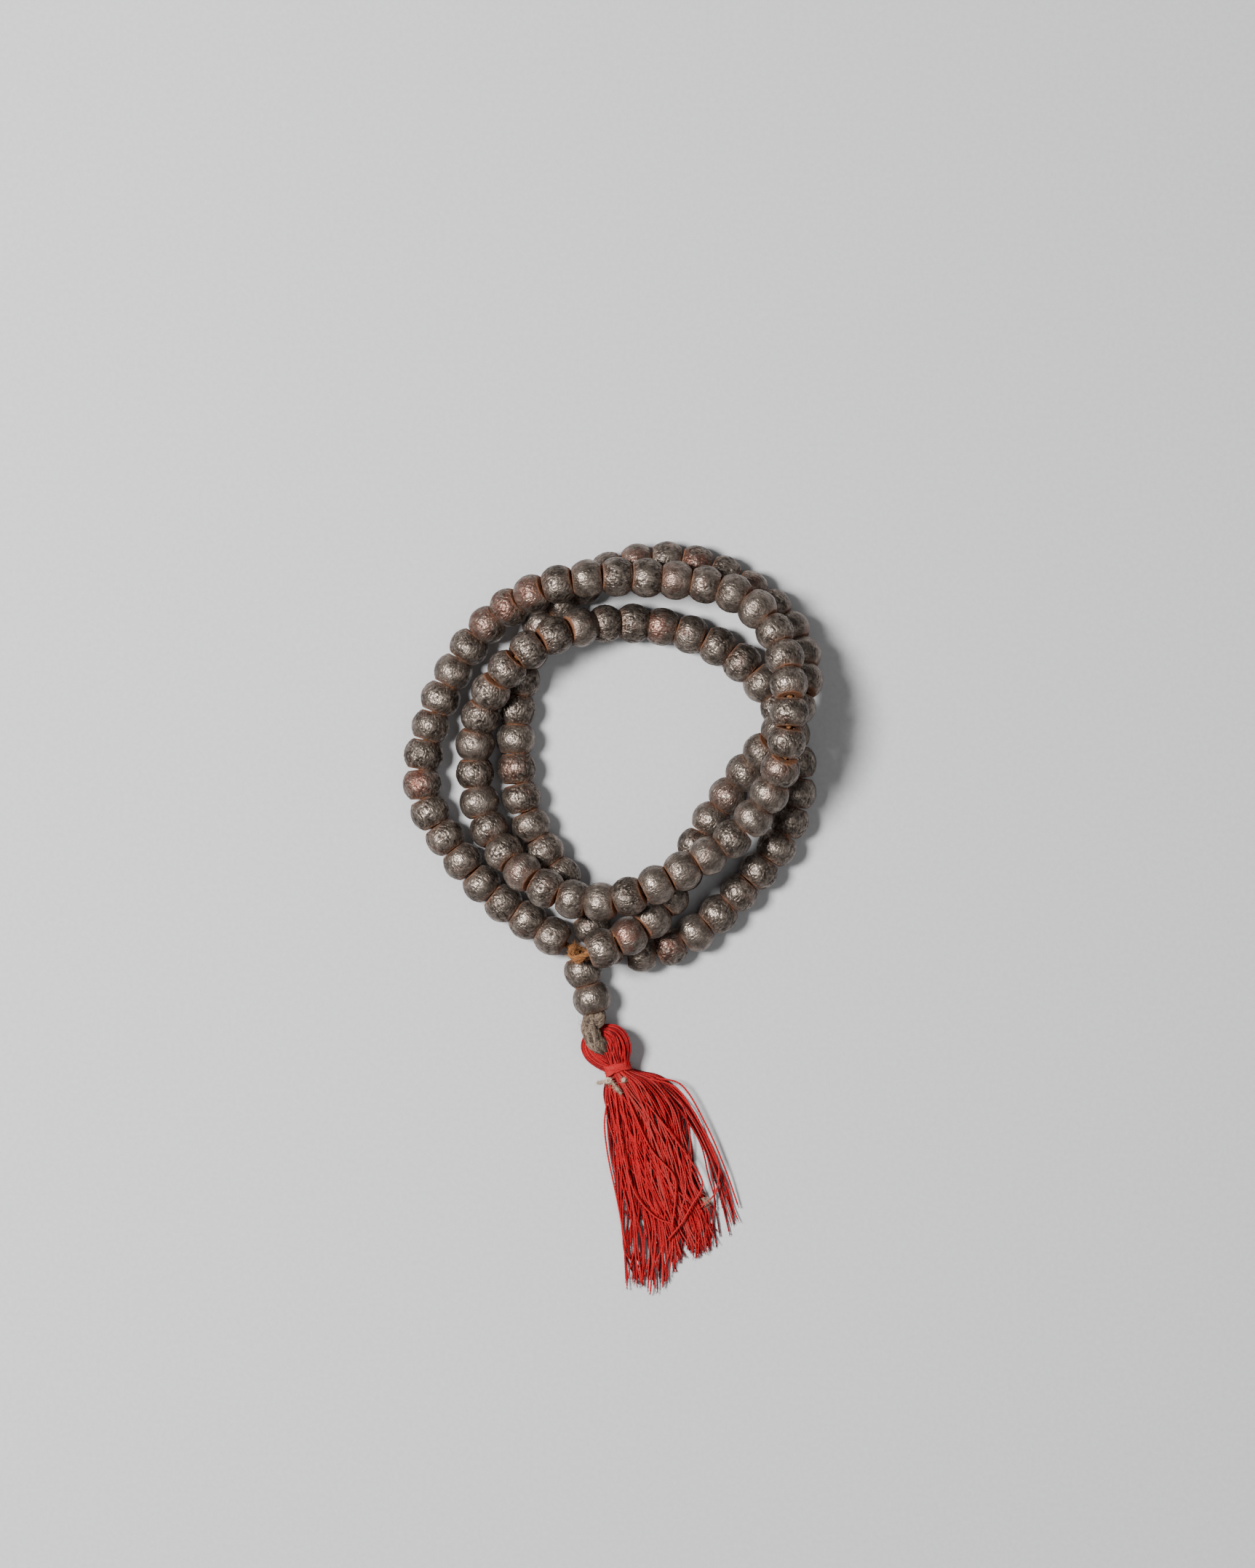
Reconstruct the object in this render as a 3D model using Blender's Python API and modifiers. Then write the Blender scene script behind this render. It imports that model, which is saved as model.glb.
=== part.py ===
"""Mala: 108 worn iron beads on one string laid in three turns, two guru beads and a red cotton tassel.

The mala lies on a table.  +Z is up, the table is Z = 0, +Y points from the tassel to the loop, and the
origin is on the table under the middle of the whole object.  The numbers below are in millimetres, and
each shape is turned into metres where its mesh or curve is made.
"""
import math

import bmesh
import bpy
from mathutils import Matrix, Vector

MM = 0.001
COLLECTION = "mala_prayer_beads"

# Driving dimensions
BEAD_DIAMETER = 9.0          # across the flats of the faceted barrel
BEAD_LENGTH = 6.4            # along the string
BEAD_PITCH = 7.03            # from one bead to the next, with the play that the string leaves
BEAD_COUNT = 108
FREE_BEADS = 48              # beads from the start of the string that are nodes of their own
RUN_LENGTH = 20              # beads in each joined run of the rest
BORE_DIAMETER = 2.4
GURU_BORE_DIAMETER = 3.4     # the guru beads take the doubled string
STRING_DIAMETER = 1.5
KNOT_DIAMETER = 3.4
FACETS = 12
TOUCH_GAP = 0.3

# Worked out from them
BEAD_RADIUS = BEAD_DIAMETER / 2 / math.cos(math.pi / FACETS)
SHOULDER = (3.3, 0.6)        # radius, and how far in from the bead's end
BELLY_START = 2.1            # how far in from the end the full width begins
NECK_OF_RUN = 1.95           # radius of the neck that joins two beads of a run
CLEARANCE = 2 * BEAD_RADIUS + 0.3
SAG = 0.35                   # how far an unsupported bead sinks in each round of laying
LAYING_ROUNDS = 30
CREST = 0.7                  # how far a gap may stand above the mean of its neighbours

# Route of the string seen from above, with how many strands it has under it there (x, y, strands).
# It leaves the closing knot, makes three turns and comes back to the knot.
ROUTE = [
    (-11.3, -6.4, 0), (-18.2, -2.0, 0), (-29.0, 5.6, 0), (-37.6, 15.8, 0), (-42.4, 22.8, 0),
    (-45.2, 28.9, 0), (-45.5, 36.0, 0), (-42.2, 49.0, 0), (-36.2, 61.5, 0), (-27.6, 71.6, 1),
    (-15.4, 78.3, 1), (-1.5, 80.7, 1), (11.8, 80.2, 1), (24.0, 78.6, 1), (32.6, 74.8, 1),
    (38.4, 68.0, 1), (41.2, 59.1, 2), (41.6, 48.5, 2), (40.3, 37.5, 2), (36.3, 27.8, 1),
    (29.5, 19.5, 1), (20.4, 13.4, 1), (8.5, 7.0, 2), (-1.3, 3.6, 2), (-9.5, 4.2, 1),
    (-18.0, 8.2, 1), (-26.0, 15.4, 1), (-31.4, 25.6, 0), (-32.9, 38.0, 0), (-31.2, 49.0, 1),
    (-25.4, 58.6, 1), (-16.4, 65.8, 1), (-4.2, 69.6, 1), (8.5, 69.8, 0), (19.0, 67.3, 0),
    (28.4, 62.6, 0), (36.3, 55.4, 0), (41.9, 45.6, 0), (44.4, 33.0, 0), (41.0, 19.6, 0),
    (32.2, 8.0, 0), (22.2, -2.0, 0), (15.6, -6.4, 0), (8.6, -8.6, 0), (1.6, -8.0, 0),
    (-3.8, -3.7, 0), (-10.4, 7.4, 0), (-18.8, 20.0, 0), (-22.7, 33.5, 0), (-22.9, 47.0, 0),
    (-21.2, 60.0, 0), (-15.8, 71.2, 0), (-5.6, 80.0, 0), (8.0, 85.0, 0), (22.6, 83.2, 0),
    (35.2, 76.2, 0), (42.6, 68.4, 0), (45.4, 61.0, 1), (45.0, 53.2, 1), (41.6, 46.4, 1),
    (33.4, 36.8, 1), (27.4, 28.6, 0), (20.6, 18.6, 0), (15.6, 7.8, 0), (9.6, -0.4, 1),
    (0.8, -6.0, 1), (-5.6, -8.4, 1),
]
KNOT = (-8.8, -7.7, 4.9)
STRING_TAIL = [(-8.3, -9.6, 12.6), (-9.3, -9.3, 10.4), (-8.9, -8.1, 8.2)]     # down to the knot

# Mouths of the guru beads along the cord that carries the tassel
GURU_MOUTHS = [(-8.15, -9.6, 4.5), (-5.8, -16.1, 4.5), (-3.9, -22.8, 4.5)]

# That cord out of the lower guru bead: over the tassel's loop, down through it and back below it
# (x, y, z, radius)
LINK_LOOP = [
    (-4.0, -24.2, 5.6, 1.4), (-4.6, -26.2, 7.1, 1.4), (-4.3, -28.6, 7.5, 1.4), (-2.9, -30.4, 6.6, 1.4),
    (-1.8, -31.2, 4.6, 1.4), (-2.6, -30.8, 2.5, 1.4), (-3.9, -29.4, 1.5, 1.4), (-4.6, -27.2, 1.45, 1.4),
    (-4.4, -25.4, 1.6, 1.4), (-4.1, -24.3, 2.2, 1.3),
]
LINK_RADIUS_IN_BEADS = 1.2

# Loop of the tassel's skein, from the right of the binding round the cord to its left
HEAD_LOOP = [
    (2.9, -34.8, 4.2, 1.7), (2.6, -33.8, 4.4, 1.8), (3.7, -31.6, 4.8, 2.2), (3.5, -29.3, 5.0, 2.3),
    (1.6, -27.4, 5.0, 2.1), (-1.0, -26.7, 4.7, 1.5), (-3.4, -27.2, 4.5, 1.2), (-5.2, -28.7, 4.4, 1.2),
    (-6.0, -30.7, 4.1, 1.3), (-5.2, -32.8, 3.9, 1.4), (-2.8, -34.1, 3.9, 1.4), (-0.2, -34.8, 4.0, 1.2),
]

# The tassel's neck lies along this line, with the binding wound round it
NECK_TOP = (1.7, -36.2, 4.2)
NECK_DIRECTION = (0.285, -0.958, 0.0)
NECK_RADIUS = 2.8
BINDING_LENGTH = 3.0
BINDING_START = 0.5          # below the neck's top
BINDING_THICKNESS = 0.9
BINDING_PLAY = 0.4           # between the binding's bore and the neck
NECK_LENGTH = 4.0

# Sections of the skirt: left end, right end, lowest and highest Z
SKIRT_SECTIONS = [
    ((-1.6, -43.0), (10.5, -39.6), 0.0, 6.6), ((-1.3, -49.0), (17.0, -43.8), 0.0, 5.4),
    ((-0.4, -57.0), (22.6, -52.5), 0.0, 4.4), ((1.4, -67.5), (26.6, -61.5), 0.0, 3.4),
    ((3.0, -79.0), (29.6, -68.0), 0.0, 2.4), ((5.0, -89.6), (31.2, -71.2), 0.0, 1.6),
]
SKIRT_EDGE = 0.45            # height of the skirt's thin side above its lowest Z, as a share
RING_POINTS = 16

# Off-white thread tied over the neck just below the binding
TIE_ROUTE = [
    (-3.6, -39.6, 0.9), (-2.9, -40.3, 3.0), (-1.5, -41.0, 5.6), (0.6, -41.3, 7.3), (2.8, -41.6, 8.0),
    (5.0, -41.6, 8.0), (6.8, -41.2, 7.2),
]
TIE_DIAMETER = 0.9

COLOURS = {                   # colour, roughness, metallic
    "iron": ((0.16, 0.13, 0.115), 0.45, 0.9),
    "string": ((0.36, 0.16, 0.05), 0.95, 0.0),
    "link": ((0.22, 0.18, 0.14), 0.95, 0.0),
    "cotton": ((0.50, 0.03, 0.025), 0.9, 0.0),
    "tie": ((0.62, 0.52, 0.42), 0.95, 0.0),
}


def clear_scene():
    for thing in list(bpy.data.objects):
        bpy.data.objects.remove(thing, do_unlink=True)


def make_material(name):
    colour, roughness, metallic = COLOURS[name]
    material = bpy.data.materials.new(name)
    material.use_nodes = True
    shader = material.node_tree.nodes["Principled BSDF"]
    shader.inputs["Base Color"].default_value = (*colour, 1.0)
    shader.inputs["Roughness"].default_value = roughness
    shader.inputs["Metallic"].default_value = metallic
    return material


def spline(points, steps=24):
    """Read a smooth curve through the points (centripetal Catmull-Rom)."""
    ends = [2 * points[0] - points[1]] + points + [2 * points[-1] - points[-2]]
    curve = []
    for before, start, end, after in zip(ends, ends[1:], ends[2:], ends[3:]):
        knots = [0.0]
        for one, other in ((before, start), (start, end), (end, after)):
            knots.append(knots[-1] + math.sqrt((other - one).length))
        k0, k1, k2, k3 = knots
        for step in range(steps):
            k = k1 + (k2 - k1) * step / steps
            a = before.lerp(start, (k - k0) / (k1 - k0))
            b = start.lerp(end, (k - k1) / (k2 - k1))
            c = end.lerp(after, (k - k2) / (k3 - k2))
            d = a.lerp(b, (k - k0) / (k2 - k0))
            e = b.lerp(c, (k - k1) / (k3 - k1))
            curve.append(d.lerp(e, (k - k1) / (k2 - k1)))
    curve.append(points[-1].copy())
    return curve


def strands_below(spot, steps=24):
    """How many strands lie below the route at one point of its curve."""
    part = min(spot // steps, len(ROUTE) - 2)
    share = spot / steps - part
    return ROUTE[part][2] * (1 - share) + ROUTE[part + 1][2] * share


def walk(curve, heights):
    """Step along the route so that neighbouring gaps are one pitch apart in space."""
    gaps = [curve[0].copy()]
    strands = [strands_below(0)]
    spot = 0
    for here, there in zip(heights, heights[1:]):
        rise = min(abs(there - here), 0.7 * BEAD_PITCH)
        step = math.sqrt(BEAD_PITCH ** 2 - rise ** 2)
        while spot < len(curve) - 1 and (curve[spot + 1] - gaps[-1]).length < step:
            spot += 1
        if spot < len(curve) - 1:
            inner = (curve[spot] - gaps[-1]).length
            outer = (curve[spot + 1] - gaps[-1]).length
            gaps.append(curve[spot].lerp(curve[spot + 1], (step - inner) / (outer - inner)))
        else:
            onward = (curve[-1] - curve[-2]).normalized()
            gaps.append(gaps[-1] + onward * step)
        strands.append(strands_below(spot))
    return gaps, strands


def lift(gaps, strands, heights):
    """Ease the string towards the table, then raise each bead just clear of those under it."""
    table = BEAD_DIAMETER / 2
    eased = list(heights)
    for middle in range(1, BEAD_COUNT):
        mean = (heights[middle - 1] + 2 * heights[middle] + heights[middle + 1]) / 4
        eased[middle] = max(table, mean - SAG)
    middles = [(a + b) / 2 for a, b in zip(gaps, gaps[1:])]
    for low in range(BEAD_COUNT):
        for high in range(BEAD_COUNT):
            over = strands[high] + strands[high + 1] - strands[low] - strands[low + 1]
            apart = (middles[high] - middles[low]).length
            if over < 0.3 or apart >= CLEARANCE or abs(high - low) < 3:
                continue
            needed = math.sqrt(CLEARANCE ** 2 - apart ** 2)
            present = (eased[high] + eased[high + 1] - eased[low] - eased[low + 1]) / 2
            if present < needed:
                eased[high] += needed - present
                eased[high + 1] += needed - present
    rounded = list(eased)
    for middle in range(1, BEAD_COUNT):
        excess = eased[middle] - CREST - (eased[middle - 1] + eased[middle + 1]) / 2
        for side in (middle - 1, middle + 1):
            if excess > 0:
                rounded[side] = max(rounded[side], min(eased[middle], eased[side] + excess))
    return rounded


def lay_string():
    """Lay the string: the gaps between beads, from before the first bead to after the last."""
    curve = spline([Vector((x, y)) for x, y, _ in ROUTE])
    heights = [BEAD_DIAMETER / 2] * (BEAD_COUNT + 1)
    for _ in range(LAYING_ROUNDS):
        gaps, strands = walk(curve, heights)
        heights = lift(gaps, strands, heights)
    gaps, strands = walk(curve, heights)
    return [Vector((gap.x, gap.y, height)) for gap, height in zip(gaps, heights)]


def place(start, end):
    """Frame half way along a bead, with Z along the string and a flat of the barrel turned down."""
    along = (end - start).normalized()
    side = Vector((0.0, 0.0, 1.0)).cross(along).normalized()
    up = along.cross(side)
    frame = Matrix((side, up, along)).transposed().to_4x4()
    frame.translation = (start + end) / 2 * MM
    return frame @ Matrix.Rotation(math.pi / FACETS, 4, "Z")


def new_object(name, data, material, collection):
    data.materials.clear()
    data.materials.append(material)
    thing = bpy.data.objects.new(name, data)
    collection.objects.link(thing)
    return thing


def realise(thing):
    """Mesh of an object with its modifiers applied or its curve filled out, welded and facing out."""
    mesh = bpy.data.meshes.new_from_object(thing.evaluated_get(bpy.context.evaluated_depsgraph_get()))
    work = bmesh.new()
    work.from_mesh(mesh)
    bmesh.ops.remove_doubles(work, verts=work.verts, dist=0.002 * MM)
    bmesh.ops.recalc_face_normals(work, faces=work.faces)
    work.to_mesh(mesh)
    work.free()
    mesh.shade_smooth()
    mesh.set_sharp_from_angle(angle=math.radians(40))
    return mesh


def turned(name, profile, steps, collection):
    """Turn a closed profile of (radius, height), run down its outer side, about Z."""
    outline = bpy.data.meshes.new(name)
    corners = [(radius * MM, 0.0, height * MM) for radius, height in profile]
    outline.from_pydata(corners, [(i, (i + 1) % len(profile)) for i in range(len(profile))], [])
    blank = bpy.data.objects.new(name + "_profile", outline)
    collection.objects.link(blank)
    screw = blank.modifiers.new("turn", "SCREW")
    screw.steps = steps
    screw.render_steps = steps
    screw.use_merge_vertices = True
    screw.merge_threshold = 0.00001
    mesh = realise(blank)
    bpy.data.objects.remove(blank, do_unlink=True)
    mesh.name = name
    return mesh


def tube(name, points, sides, collection, tilt=0.0):
    """Round tube through points of (place, radius), with closed ends."""
    path = bpy.data.curves.new(name, "CURVE")
    path.dimensions = "3D"
    path.bevel_depth = MM
    path.bevel_resolution = {8: 2, 12: 4}[sides]
    path.use_fill_caps = True
    path.twist_mode = "Z_UP"
    run = path.splines.new("POLY")
    run.points.add(len(points) - 1)
    for point, (spot, radius) in zip(run.points, points):
        point.co = (*(spot * MM), 1.0)
        point.radius = radius
        point.tilt = tilt
    blank = bpy.data.objects.new(name + "_path", path)
    collection.objects.link(blank)
    mesh = realise(blank)
    bpy.data.objects.remove(blank, do_unlink=True)
    mesh.name = name
    return mesh


def bead_mesh(name, bore, collection):
    half = BEAD_LENGTH / 2
    shoulder, inset = SHOULDER
    upper = [(bore / 2, half), (shoulder, half - inset), (BEAD_RADIUS, half - BELLY_START)]
    lower = [(radius, -height) for radius, height in reversed(upper)]
    return turned(name, upper + lower, FACETS, collection)


def run_of_beads(gaps):
    """Outline of joined beads: a belly for each, and a neck at each gap between two."""
    half = BEAD_LENGTH / 2
    shoulder, inset = SHOULDER
    outline = []
    for start, end in zip(gaps, gaps[1:]):
        along = (end - start).normalized()
        middle = (start + end) / 2
        outline += [(middle - along * (half - inset), shoulder),
                    (middle - along * (half - BELLY_START), BEAD_RADIUS),
                    (middle + along * (half - BELLY_START), BEAD_RADIUS),
                    (middle + along * (half - inset), shoulder),
                    (end, NECK_OF_RUN)]
    first = (gaps[1] - gaps[0]).normalized()
    last = (gaps[-1] - gaps[-2]).normalized()
    outline[0:0] = [((gaps[0] + gaps[1]) / 2 - first * half, NECK_OF_RUN)]
    outline[-1] = ((gaps[-1] + gaps[-2]) / 2 + last * half, NECK_OF_RUN)
    return outline


def bored_run(name, gaps, material, collection, cutters):
    body = new_object(name, tube(name, run_of_beads(gaps), 12, collection, math.pi / FACETS),
                      material, collection)
    bore = [gaps[0] * 2 - gaps[1]] + gaps + [gaps[-1] * 2 - gaps[-2]]
    bore[0] = gaps[0].lerp(bore[0], 0.3)
    bore[-1] = gaps[-1].lerp(bore[-1], 0.3)
    drill = new_object(name + "_bore", tube(name + "_bore", [(gap, BORE_DIAMETER / 2) for gap in bore],
                                            12, collection), material, cutters)
    drill.hide_render = True
    drill.display_type = "WIRE"
    cut = body.modifiers.new("bore", "BOOLEAN")
    cut.operation = "DIFFERENCE"
    cut.solver = "EXACT"
    cut.object = drill
    body.data = realise(body)
    body.data.name = name
    body.modifiers.clear()
    return body


def string_path(gaps):
    knot = Vector(KNOT)
    reach = KNOT_DIAMETER / 2 + TOUCH_GAP
    start = knot + (gaps[0] - knot).normalized() * reach
    end = knot + Vector((0.0, 0.0, reach + 0.05))
    return [start] + gaps + [Vector(point) for point in STRING_TAIL] + [end]


def section(left, right, low, high, flat):
    """One ring of the skirt, from its left side over the top to its right side and back below."""
    left, right = Vector((*left, 0.0)), Vector((*right, 0.0))
    ring = []
    for k in range(RING_POINTS):
        turn = 2 * math.pi * k / RING_POINTS
        across = (1 - math.cos(turn)) / 2
        height = math.sin(turn)
        if not flat:
            rise = (low + high) / 2 + height * (high - low) / 2
        elif k <= RING_POINTS // 2:
            edge = low + SKIRT_EDGE * (high - low)
            rise = edge + max(height, 0.0) * (high - edge)
        else:
            rise = low
        spot = left.lerp(right, across)
        ring.append(Vector((spot.x, spot.y, rise)) * MM)
    return ring


def skirt_mesh(name):
    """Loft of the tassel: its round neck, then flat-bottomed sections that spread on the table."""
    top = Vector(NECK_TOP)
    along = Vector(NECK_DIRECTION).normalized()
    across = Vector((-along.y, along.x, 0.0)) * NECK_RADIUS
    rings = []
    for reach in (0.0, NECK_LENGTH):
        middle = top + along * reach
        rings.append(section((middle - across).xy, (middle + across).xy,
                             top.z - NECK_RADIUS, top.z + NECK_RADIUS, flat=False))
    rings += [section(*numbers, flat=True) for numbers in SKIRT_SECTIONS]
    corners = [corner for ring in rings for corner in ring]
    faces = []
    for row in range(len(rings) - 1):
        for k in range(RING_POINTS):
            here, there = row * RING_POINTS, (row + 1) * RING_POINTS
            after = (k + 1) % RING_POINTS
            faces.append((here + k, here + after, there + after, there + k))
    faces.append(tuple(range(RING_POINTS)))
    faces.append(tuple(range((len(rings) - 1) * RING_POINTS, len(rings) * RING_POINTS)))
    mesh = bpy.data.meshes.new(name)
    mesh.from_pydata(corners, [], faces)
    work = bmesh.new()
    work.from_mesh(mesh)
    bmesh.ops.recalc_face_normals(work, faces=work.faces)
    work.to_mesh(mesh)
    work.free()
    mesh.shade_smooth()
    mesh.set_sharp_from_angle(angle=math.radians(40))
    return mesh


def knot_mesh(name):
    mesh = bpy.data.meshes.new(name)
    work = bmesh.new()
    bmesh.ops.create_uvsphere(work, u_segments=12, v_segments=8, radius=KNOT_DIAMETER / 2 * MM)
    work.to_mesh(mesh)
    work.free()
    mesh.shade_smooth()
    return mesh


def build_beads(gaps, materials, collection, cutters):
    shape = bead_mesh("bead", BORE_DIAMETER, collection)
    for number in range(1, FREE_BEADS + 1):
        bead = new_object(f"bead_{number:03d}", shape, materials["iron"], collection)
        bead.matrix_world = place(gaps[number - 1], gaps[number])
    for number, first in enumerate(range(FREE_BEADS, BEAD_COUNT, RUN_LENGTH), start=1):
        bored_run(f"bead_run_{number}", gaps[first:first + RUN_LENGTH + 1], materials["iron"],
                  collection, cutters)
    shape = bead_mesh("guru_bead", GURU_BORE_DIAMETER, collection)
    mouths = [Vector(mouth) for mouth in GURU_MOUTHS]
    for number, (start, end) in enumerate(zip(mouths, mouths[1:]), start=1):
        bead = new_object(f"guru_bead_{number}", shape, materials["iron"], collection)
        bead.matrix_world = place(start, end)


def build_cords(gaps, materials, collection):
    cord = tube("stringing_cord", [(spot, STRING_DIAMETER / 2) for spot in string_path(gaps)], 8, collection)
    new_object("stringing_cord", cord, materials["string"], collection)
    knot = new_object("closing_knot", knot_mesh("closing_knot"), materials["string"], collection)
    knot.location = Vector(KNOT) * MM
    route = [(Vector(mouth), LINK_RADIUS_IN_BEADS) for mouth in GURU_MOUTHS]
    route += [(Vector((x, y, z)), radius) for x, y, z, radius in LINK_LOOP]
    new_object("link_cord", tube("link_cord", route, 12, collection), materials["link"], collection)


def build_tassel(materials, collection):
    loop = [(Vector((x, y, z)), radius) for x, y, z, radius in HEAD_LOOP]
    new_object("tassel_head_loop", tube("tassel_head_loop", loop, 12, collection),
               materials["cotton"], collection)
    inner = NECK_RADIUS + BINDING_PLAY
    outer = inner + BINDING_THICKNESS
    ring = [(outer, BINDING_LENGTH / 2), (outer, -BINDING_LENGTH / 2),
            (inner, -BINDING_LENGTH / 2), (inner, BINDING_LENGTH / 2)]
    binding = new_object("tassel_binding", turned("tassel_binding", ring, 24, collection),
                         materials["cotton"], collection)
    along = Vector(NECK_DIRECTION).normalized()
    start = Vector(NECK_TOP) + along * BINDING_START
    binding.matrix_world = place(start, start + along * BINDING_LENGTH)
    new_object("tassel_skirt", skirt_mesh("tassel_skirt"), materials["cotton"], collection)
    tie = [(Vector(point), TIE_DIAMETER / 2) for point in TIE_ROUTE]
    new_object("tie_thread", tube("tie_thread", tie, 8, collection), materials["tie"], collection)


def main():
    clear_scene()
    collection = bpy.data.collections.new(COLLECTION)
    cutters = bpy.data.collections.new("cutters")
    bpy.context.scene.collection.children.link(collection)
    bpy.context.scene.collection.children.link(cutters)
    materials = {name: make_material(name) for name in COLOURS}
    gaps = lay_string()
    build_beads(gaps, materials, collection, cutters)
    build_cords(gaps, materials, collection)
    build_tassel(materials, collection)


if __name__ == "__main__":
    main()
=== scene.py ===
"""Mala on a table: worn iron beads on a twisted string, a fibre cord and a red cotton tassel.

Numbers are in millimetres and become metres where a mesh is made.  Only the floor, the lamps and the
camera are given in metres.  +Z is up and the table is Z = 0.
"""
import math

import bpy
import numpy as np
from mathutils import Matrix, Vector


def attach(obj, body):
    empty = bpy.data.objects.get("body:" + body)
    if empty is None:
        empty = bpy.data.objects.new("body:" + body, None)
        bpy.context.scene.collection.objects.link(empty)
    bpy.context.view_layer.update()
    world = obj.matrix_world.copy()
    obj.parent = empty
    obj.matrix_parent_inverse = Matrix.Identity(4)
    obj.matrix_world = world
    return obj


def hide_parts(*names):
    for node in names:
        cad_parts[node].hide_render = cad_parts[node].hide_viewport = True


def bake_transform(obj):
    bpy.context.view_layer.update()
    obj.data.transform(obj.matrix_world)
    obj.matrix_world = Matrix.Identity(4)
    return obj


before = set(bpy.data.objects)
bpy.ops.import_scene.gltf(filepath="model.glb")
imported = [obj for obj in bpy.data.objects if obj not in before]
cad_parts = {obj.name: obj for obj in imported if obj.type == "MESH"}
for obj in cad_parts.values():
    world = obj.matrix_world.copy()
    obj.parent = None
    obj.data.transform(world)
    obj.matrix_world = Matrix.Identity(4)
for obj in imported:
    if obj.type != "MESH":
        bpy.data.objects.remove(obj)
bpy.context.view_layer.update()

MM = 0.001

# Beads and string, as in the CAD model
BEAD_DIAMETER = 9.0
BEAD_PITCH = 7.03
BEAD_COUNT = 108
FREE_BEADS = 48              # these spin, and the rest are joined in runs
RUN_BEADS = 20               # in each run
FACETS = 12                  # flat sides of a bead in the CAD model
BEAD_RADIUS = BEAD_DIAMETER / 2 / math.cos(math.pi / FACETS)
CLEARANCE = 2 * BEAD_RADIUS + 0.3      # least distance between the middles of crossing beads
LAYING_ROUNDS = 30
SAG = 0.35                   # how far the string sinks towards the table in each round
CREST = 0.7                  # how far a gap may stand above the line between its neighbours
STEEPEST = 0.7               # greatest rise from gap to gap, as a share of the pitch
CROSSING = 0.3               # least difference in strands below that lays one bead over another
CURVE_STEPS = 24             # from one point of the route to the next

# Route of the string seen from above, with how many strands it has under it there (x, y, strands).
# It leaves the closing knot, makes three turns and comes back to the knot.
ROUTE = [
    (-11.3, -6.4, 0), (-18.2, -2.0, 0), (-29.0, 5.6, 0), (-37.6, 15.8, 0), (-42.4, 22.8, 0),
    (-45.2, 28.9, 0), (-45.5, 36.0, 0), (-42.2, 49.0, 0), (-36.2, 61.5, 0), (-27.6, 71.6, 1),
    (-15.4, 78.3, 1), (-1.5, 80.7, 1), (11.8, 80.2, 1), (24.0, 78.6, 1), (32.6, 74.8, 1),
    (38.4, 68.0, 1), (41.2, 59.1, 2), (41.6, 48.5, 2), (40.3, 37.5, 2), (36.3, 27.8, 1),
    (29.5, 19.5, 1), (20.4, 13.4, 1), (8.5, 7.0, 2), (-1.3, 3.6, 2), (-9.5, 4.2, 1),
    (-18.0, 8.2, 1), (-26.0, 15.4, 1), (-31.4, 25.6, 0), (-32.9, 38.0, 0), (-31.2, 49.0, 1),
    (-25.4, 58.6, 1), (-16.4, 65.8, 1), (-4.2, 69.6, 1), (8.5, 69.8, 0), (19.0, 67.3, 0),
    (28.4, 62.6, 0), (36.3, 55.4, 0), (41.9, 45.6, 0), (44.4, 33.0, 0), (41.0, 19.6, 0),
    (32.2, 8.0, 0), (22.2, -2.0, 0), (15.6, -6.4, 0), (8.6, -8.6, 0), (1.6, -8.0, 0),
    (-3.8, -3.7, 0), (-10.4, 7.4, 0), (-18.8, 20.0, 0), (-22.7, 33.5, 0), (-22.9, 47.0, 0),
    (-21.2, 60.0, 0), (-15.8, 71.2, 0), (-5.6, 80.0, 0), (8.0, 85.0, 0), (22.6, 83.2, 0),
    (35.2, 76.2, 0), (42.6, 68.4, 0), (45.4, 61.0, 1), (45.0, 53.2, 1), (41.6, 46.4, 1),
    (33.4, 36.8, 1), (27.4, 28.6, 0), (20.6, 18.6, 0), (15.6, 7.8, 0), (9.6, -0.4, 1),
    (0.8, -6.0, 1), (-5.6, -8.4, 1),
]
STRING_START = (-9.6, -7.3, 4.8)
STRING_TAIL = [(-8.3, -9.6, 12.6), (-9.3, -9.3, 10.4), (-8.9, -8.1, 8.2)]     # down to the knot
STRING_END = (-8.8, -7.8, 6.2)
STRING_PLY = 0.43            # radius of each of the string's two plies
STRING_SPREAD = 0.34         # from the string's middle to a ply's
STRING_TWIST = 3.2           # length of one turn of the twist

# Knot: its middle, its hard core as steps from there, and the loose ends that leave it
KNOT = (-8.8, -7.7, 4.9)
KNOT_CORE = ((-1.3, 0.4, -0.2), (-0.4, 0.1, 0.1), (0.6, -0.2, 0.2), (1.5, -0.5, 0.1))
KNOT_LOOPS = 8
KNOT_ENDS = [
    [(-8.6, -8.0, 5.4), (-7.6, -8.6, 6.8), (-6.4, -8.9, 7.0), (-5.3, -9.1, 6.4)],
    [(-8.8, -7.6, 5.2), (-9.6, -8.2, 6.3), (-9.9, -8.9, 6.9), (-9.4, -9.6, 6.9)],
    [(-8.4, -7.9, 5.0), (-7.4, -7.6, 6.0), (-6.4, -7.9, 6.6), (-5.6, -8.2, 6.3)],
    [(-8.9, -7.9, 4.6), (-8.5, -8.9, 4.6), (-8.2, -9.8, 4.5), (-7.4, -12.0, 4.5)],
]

# Loose strands round the tail of the string, and how far they stray at each place of its route
TAIL_STRANDS = 7
TAIL_ROUTE = [(-6.6, -8.9, 13.3), *STRING_TAIL, (-8.7, -7.9, 6.0)]
TAIL_SWAY = (0.4, 1.0, 1.2, 1.0, 0.5)

# Worn stretch of the string between the last two beads, and the side to which it bulges
FRAY_STRANDS = 12
FRAY_REACHES = (-1.4, -0.9, -0.4, 0.4, 0.9, 1.4)
FRAY_SIDE = (-0.85, 1.3, 1.2)

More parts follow.
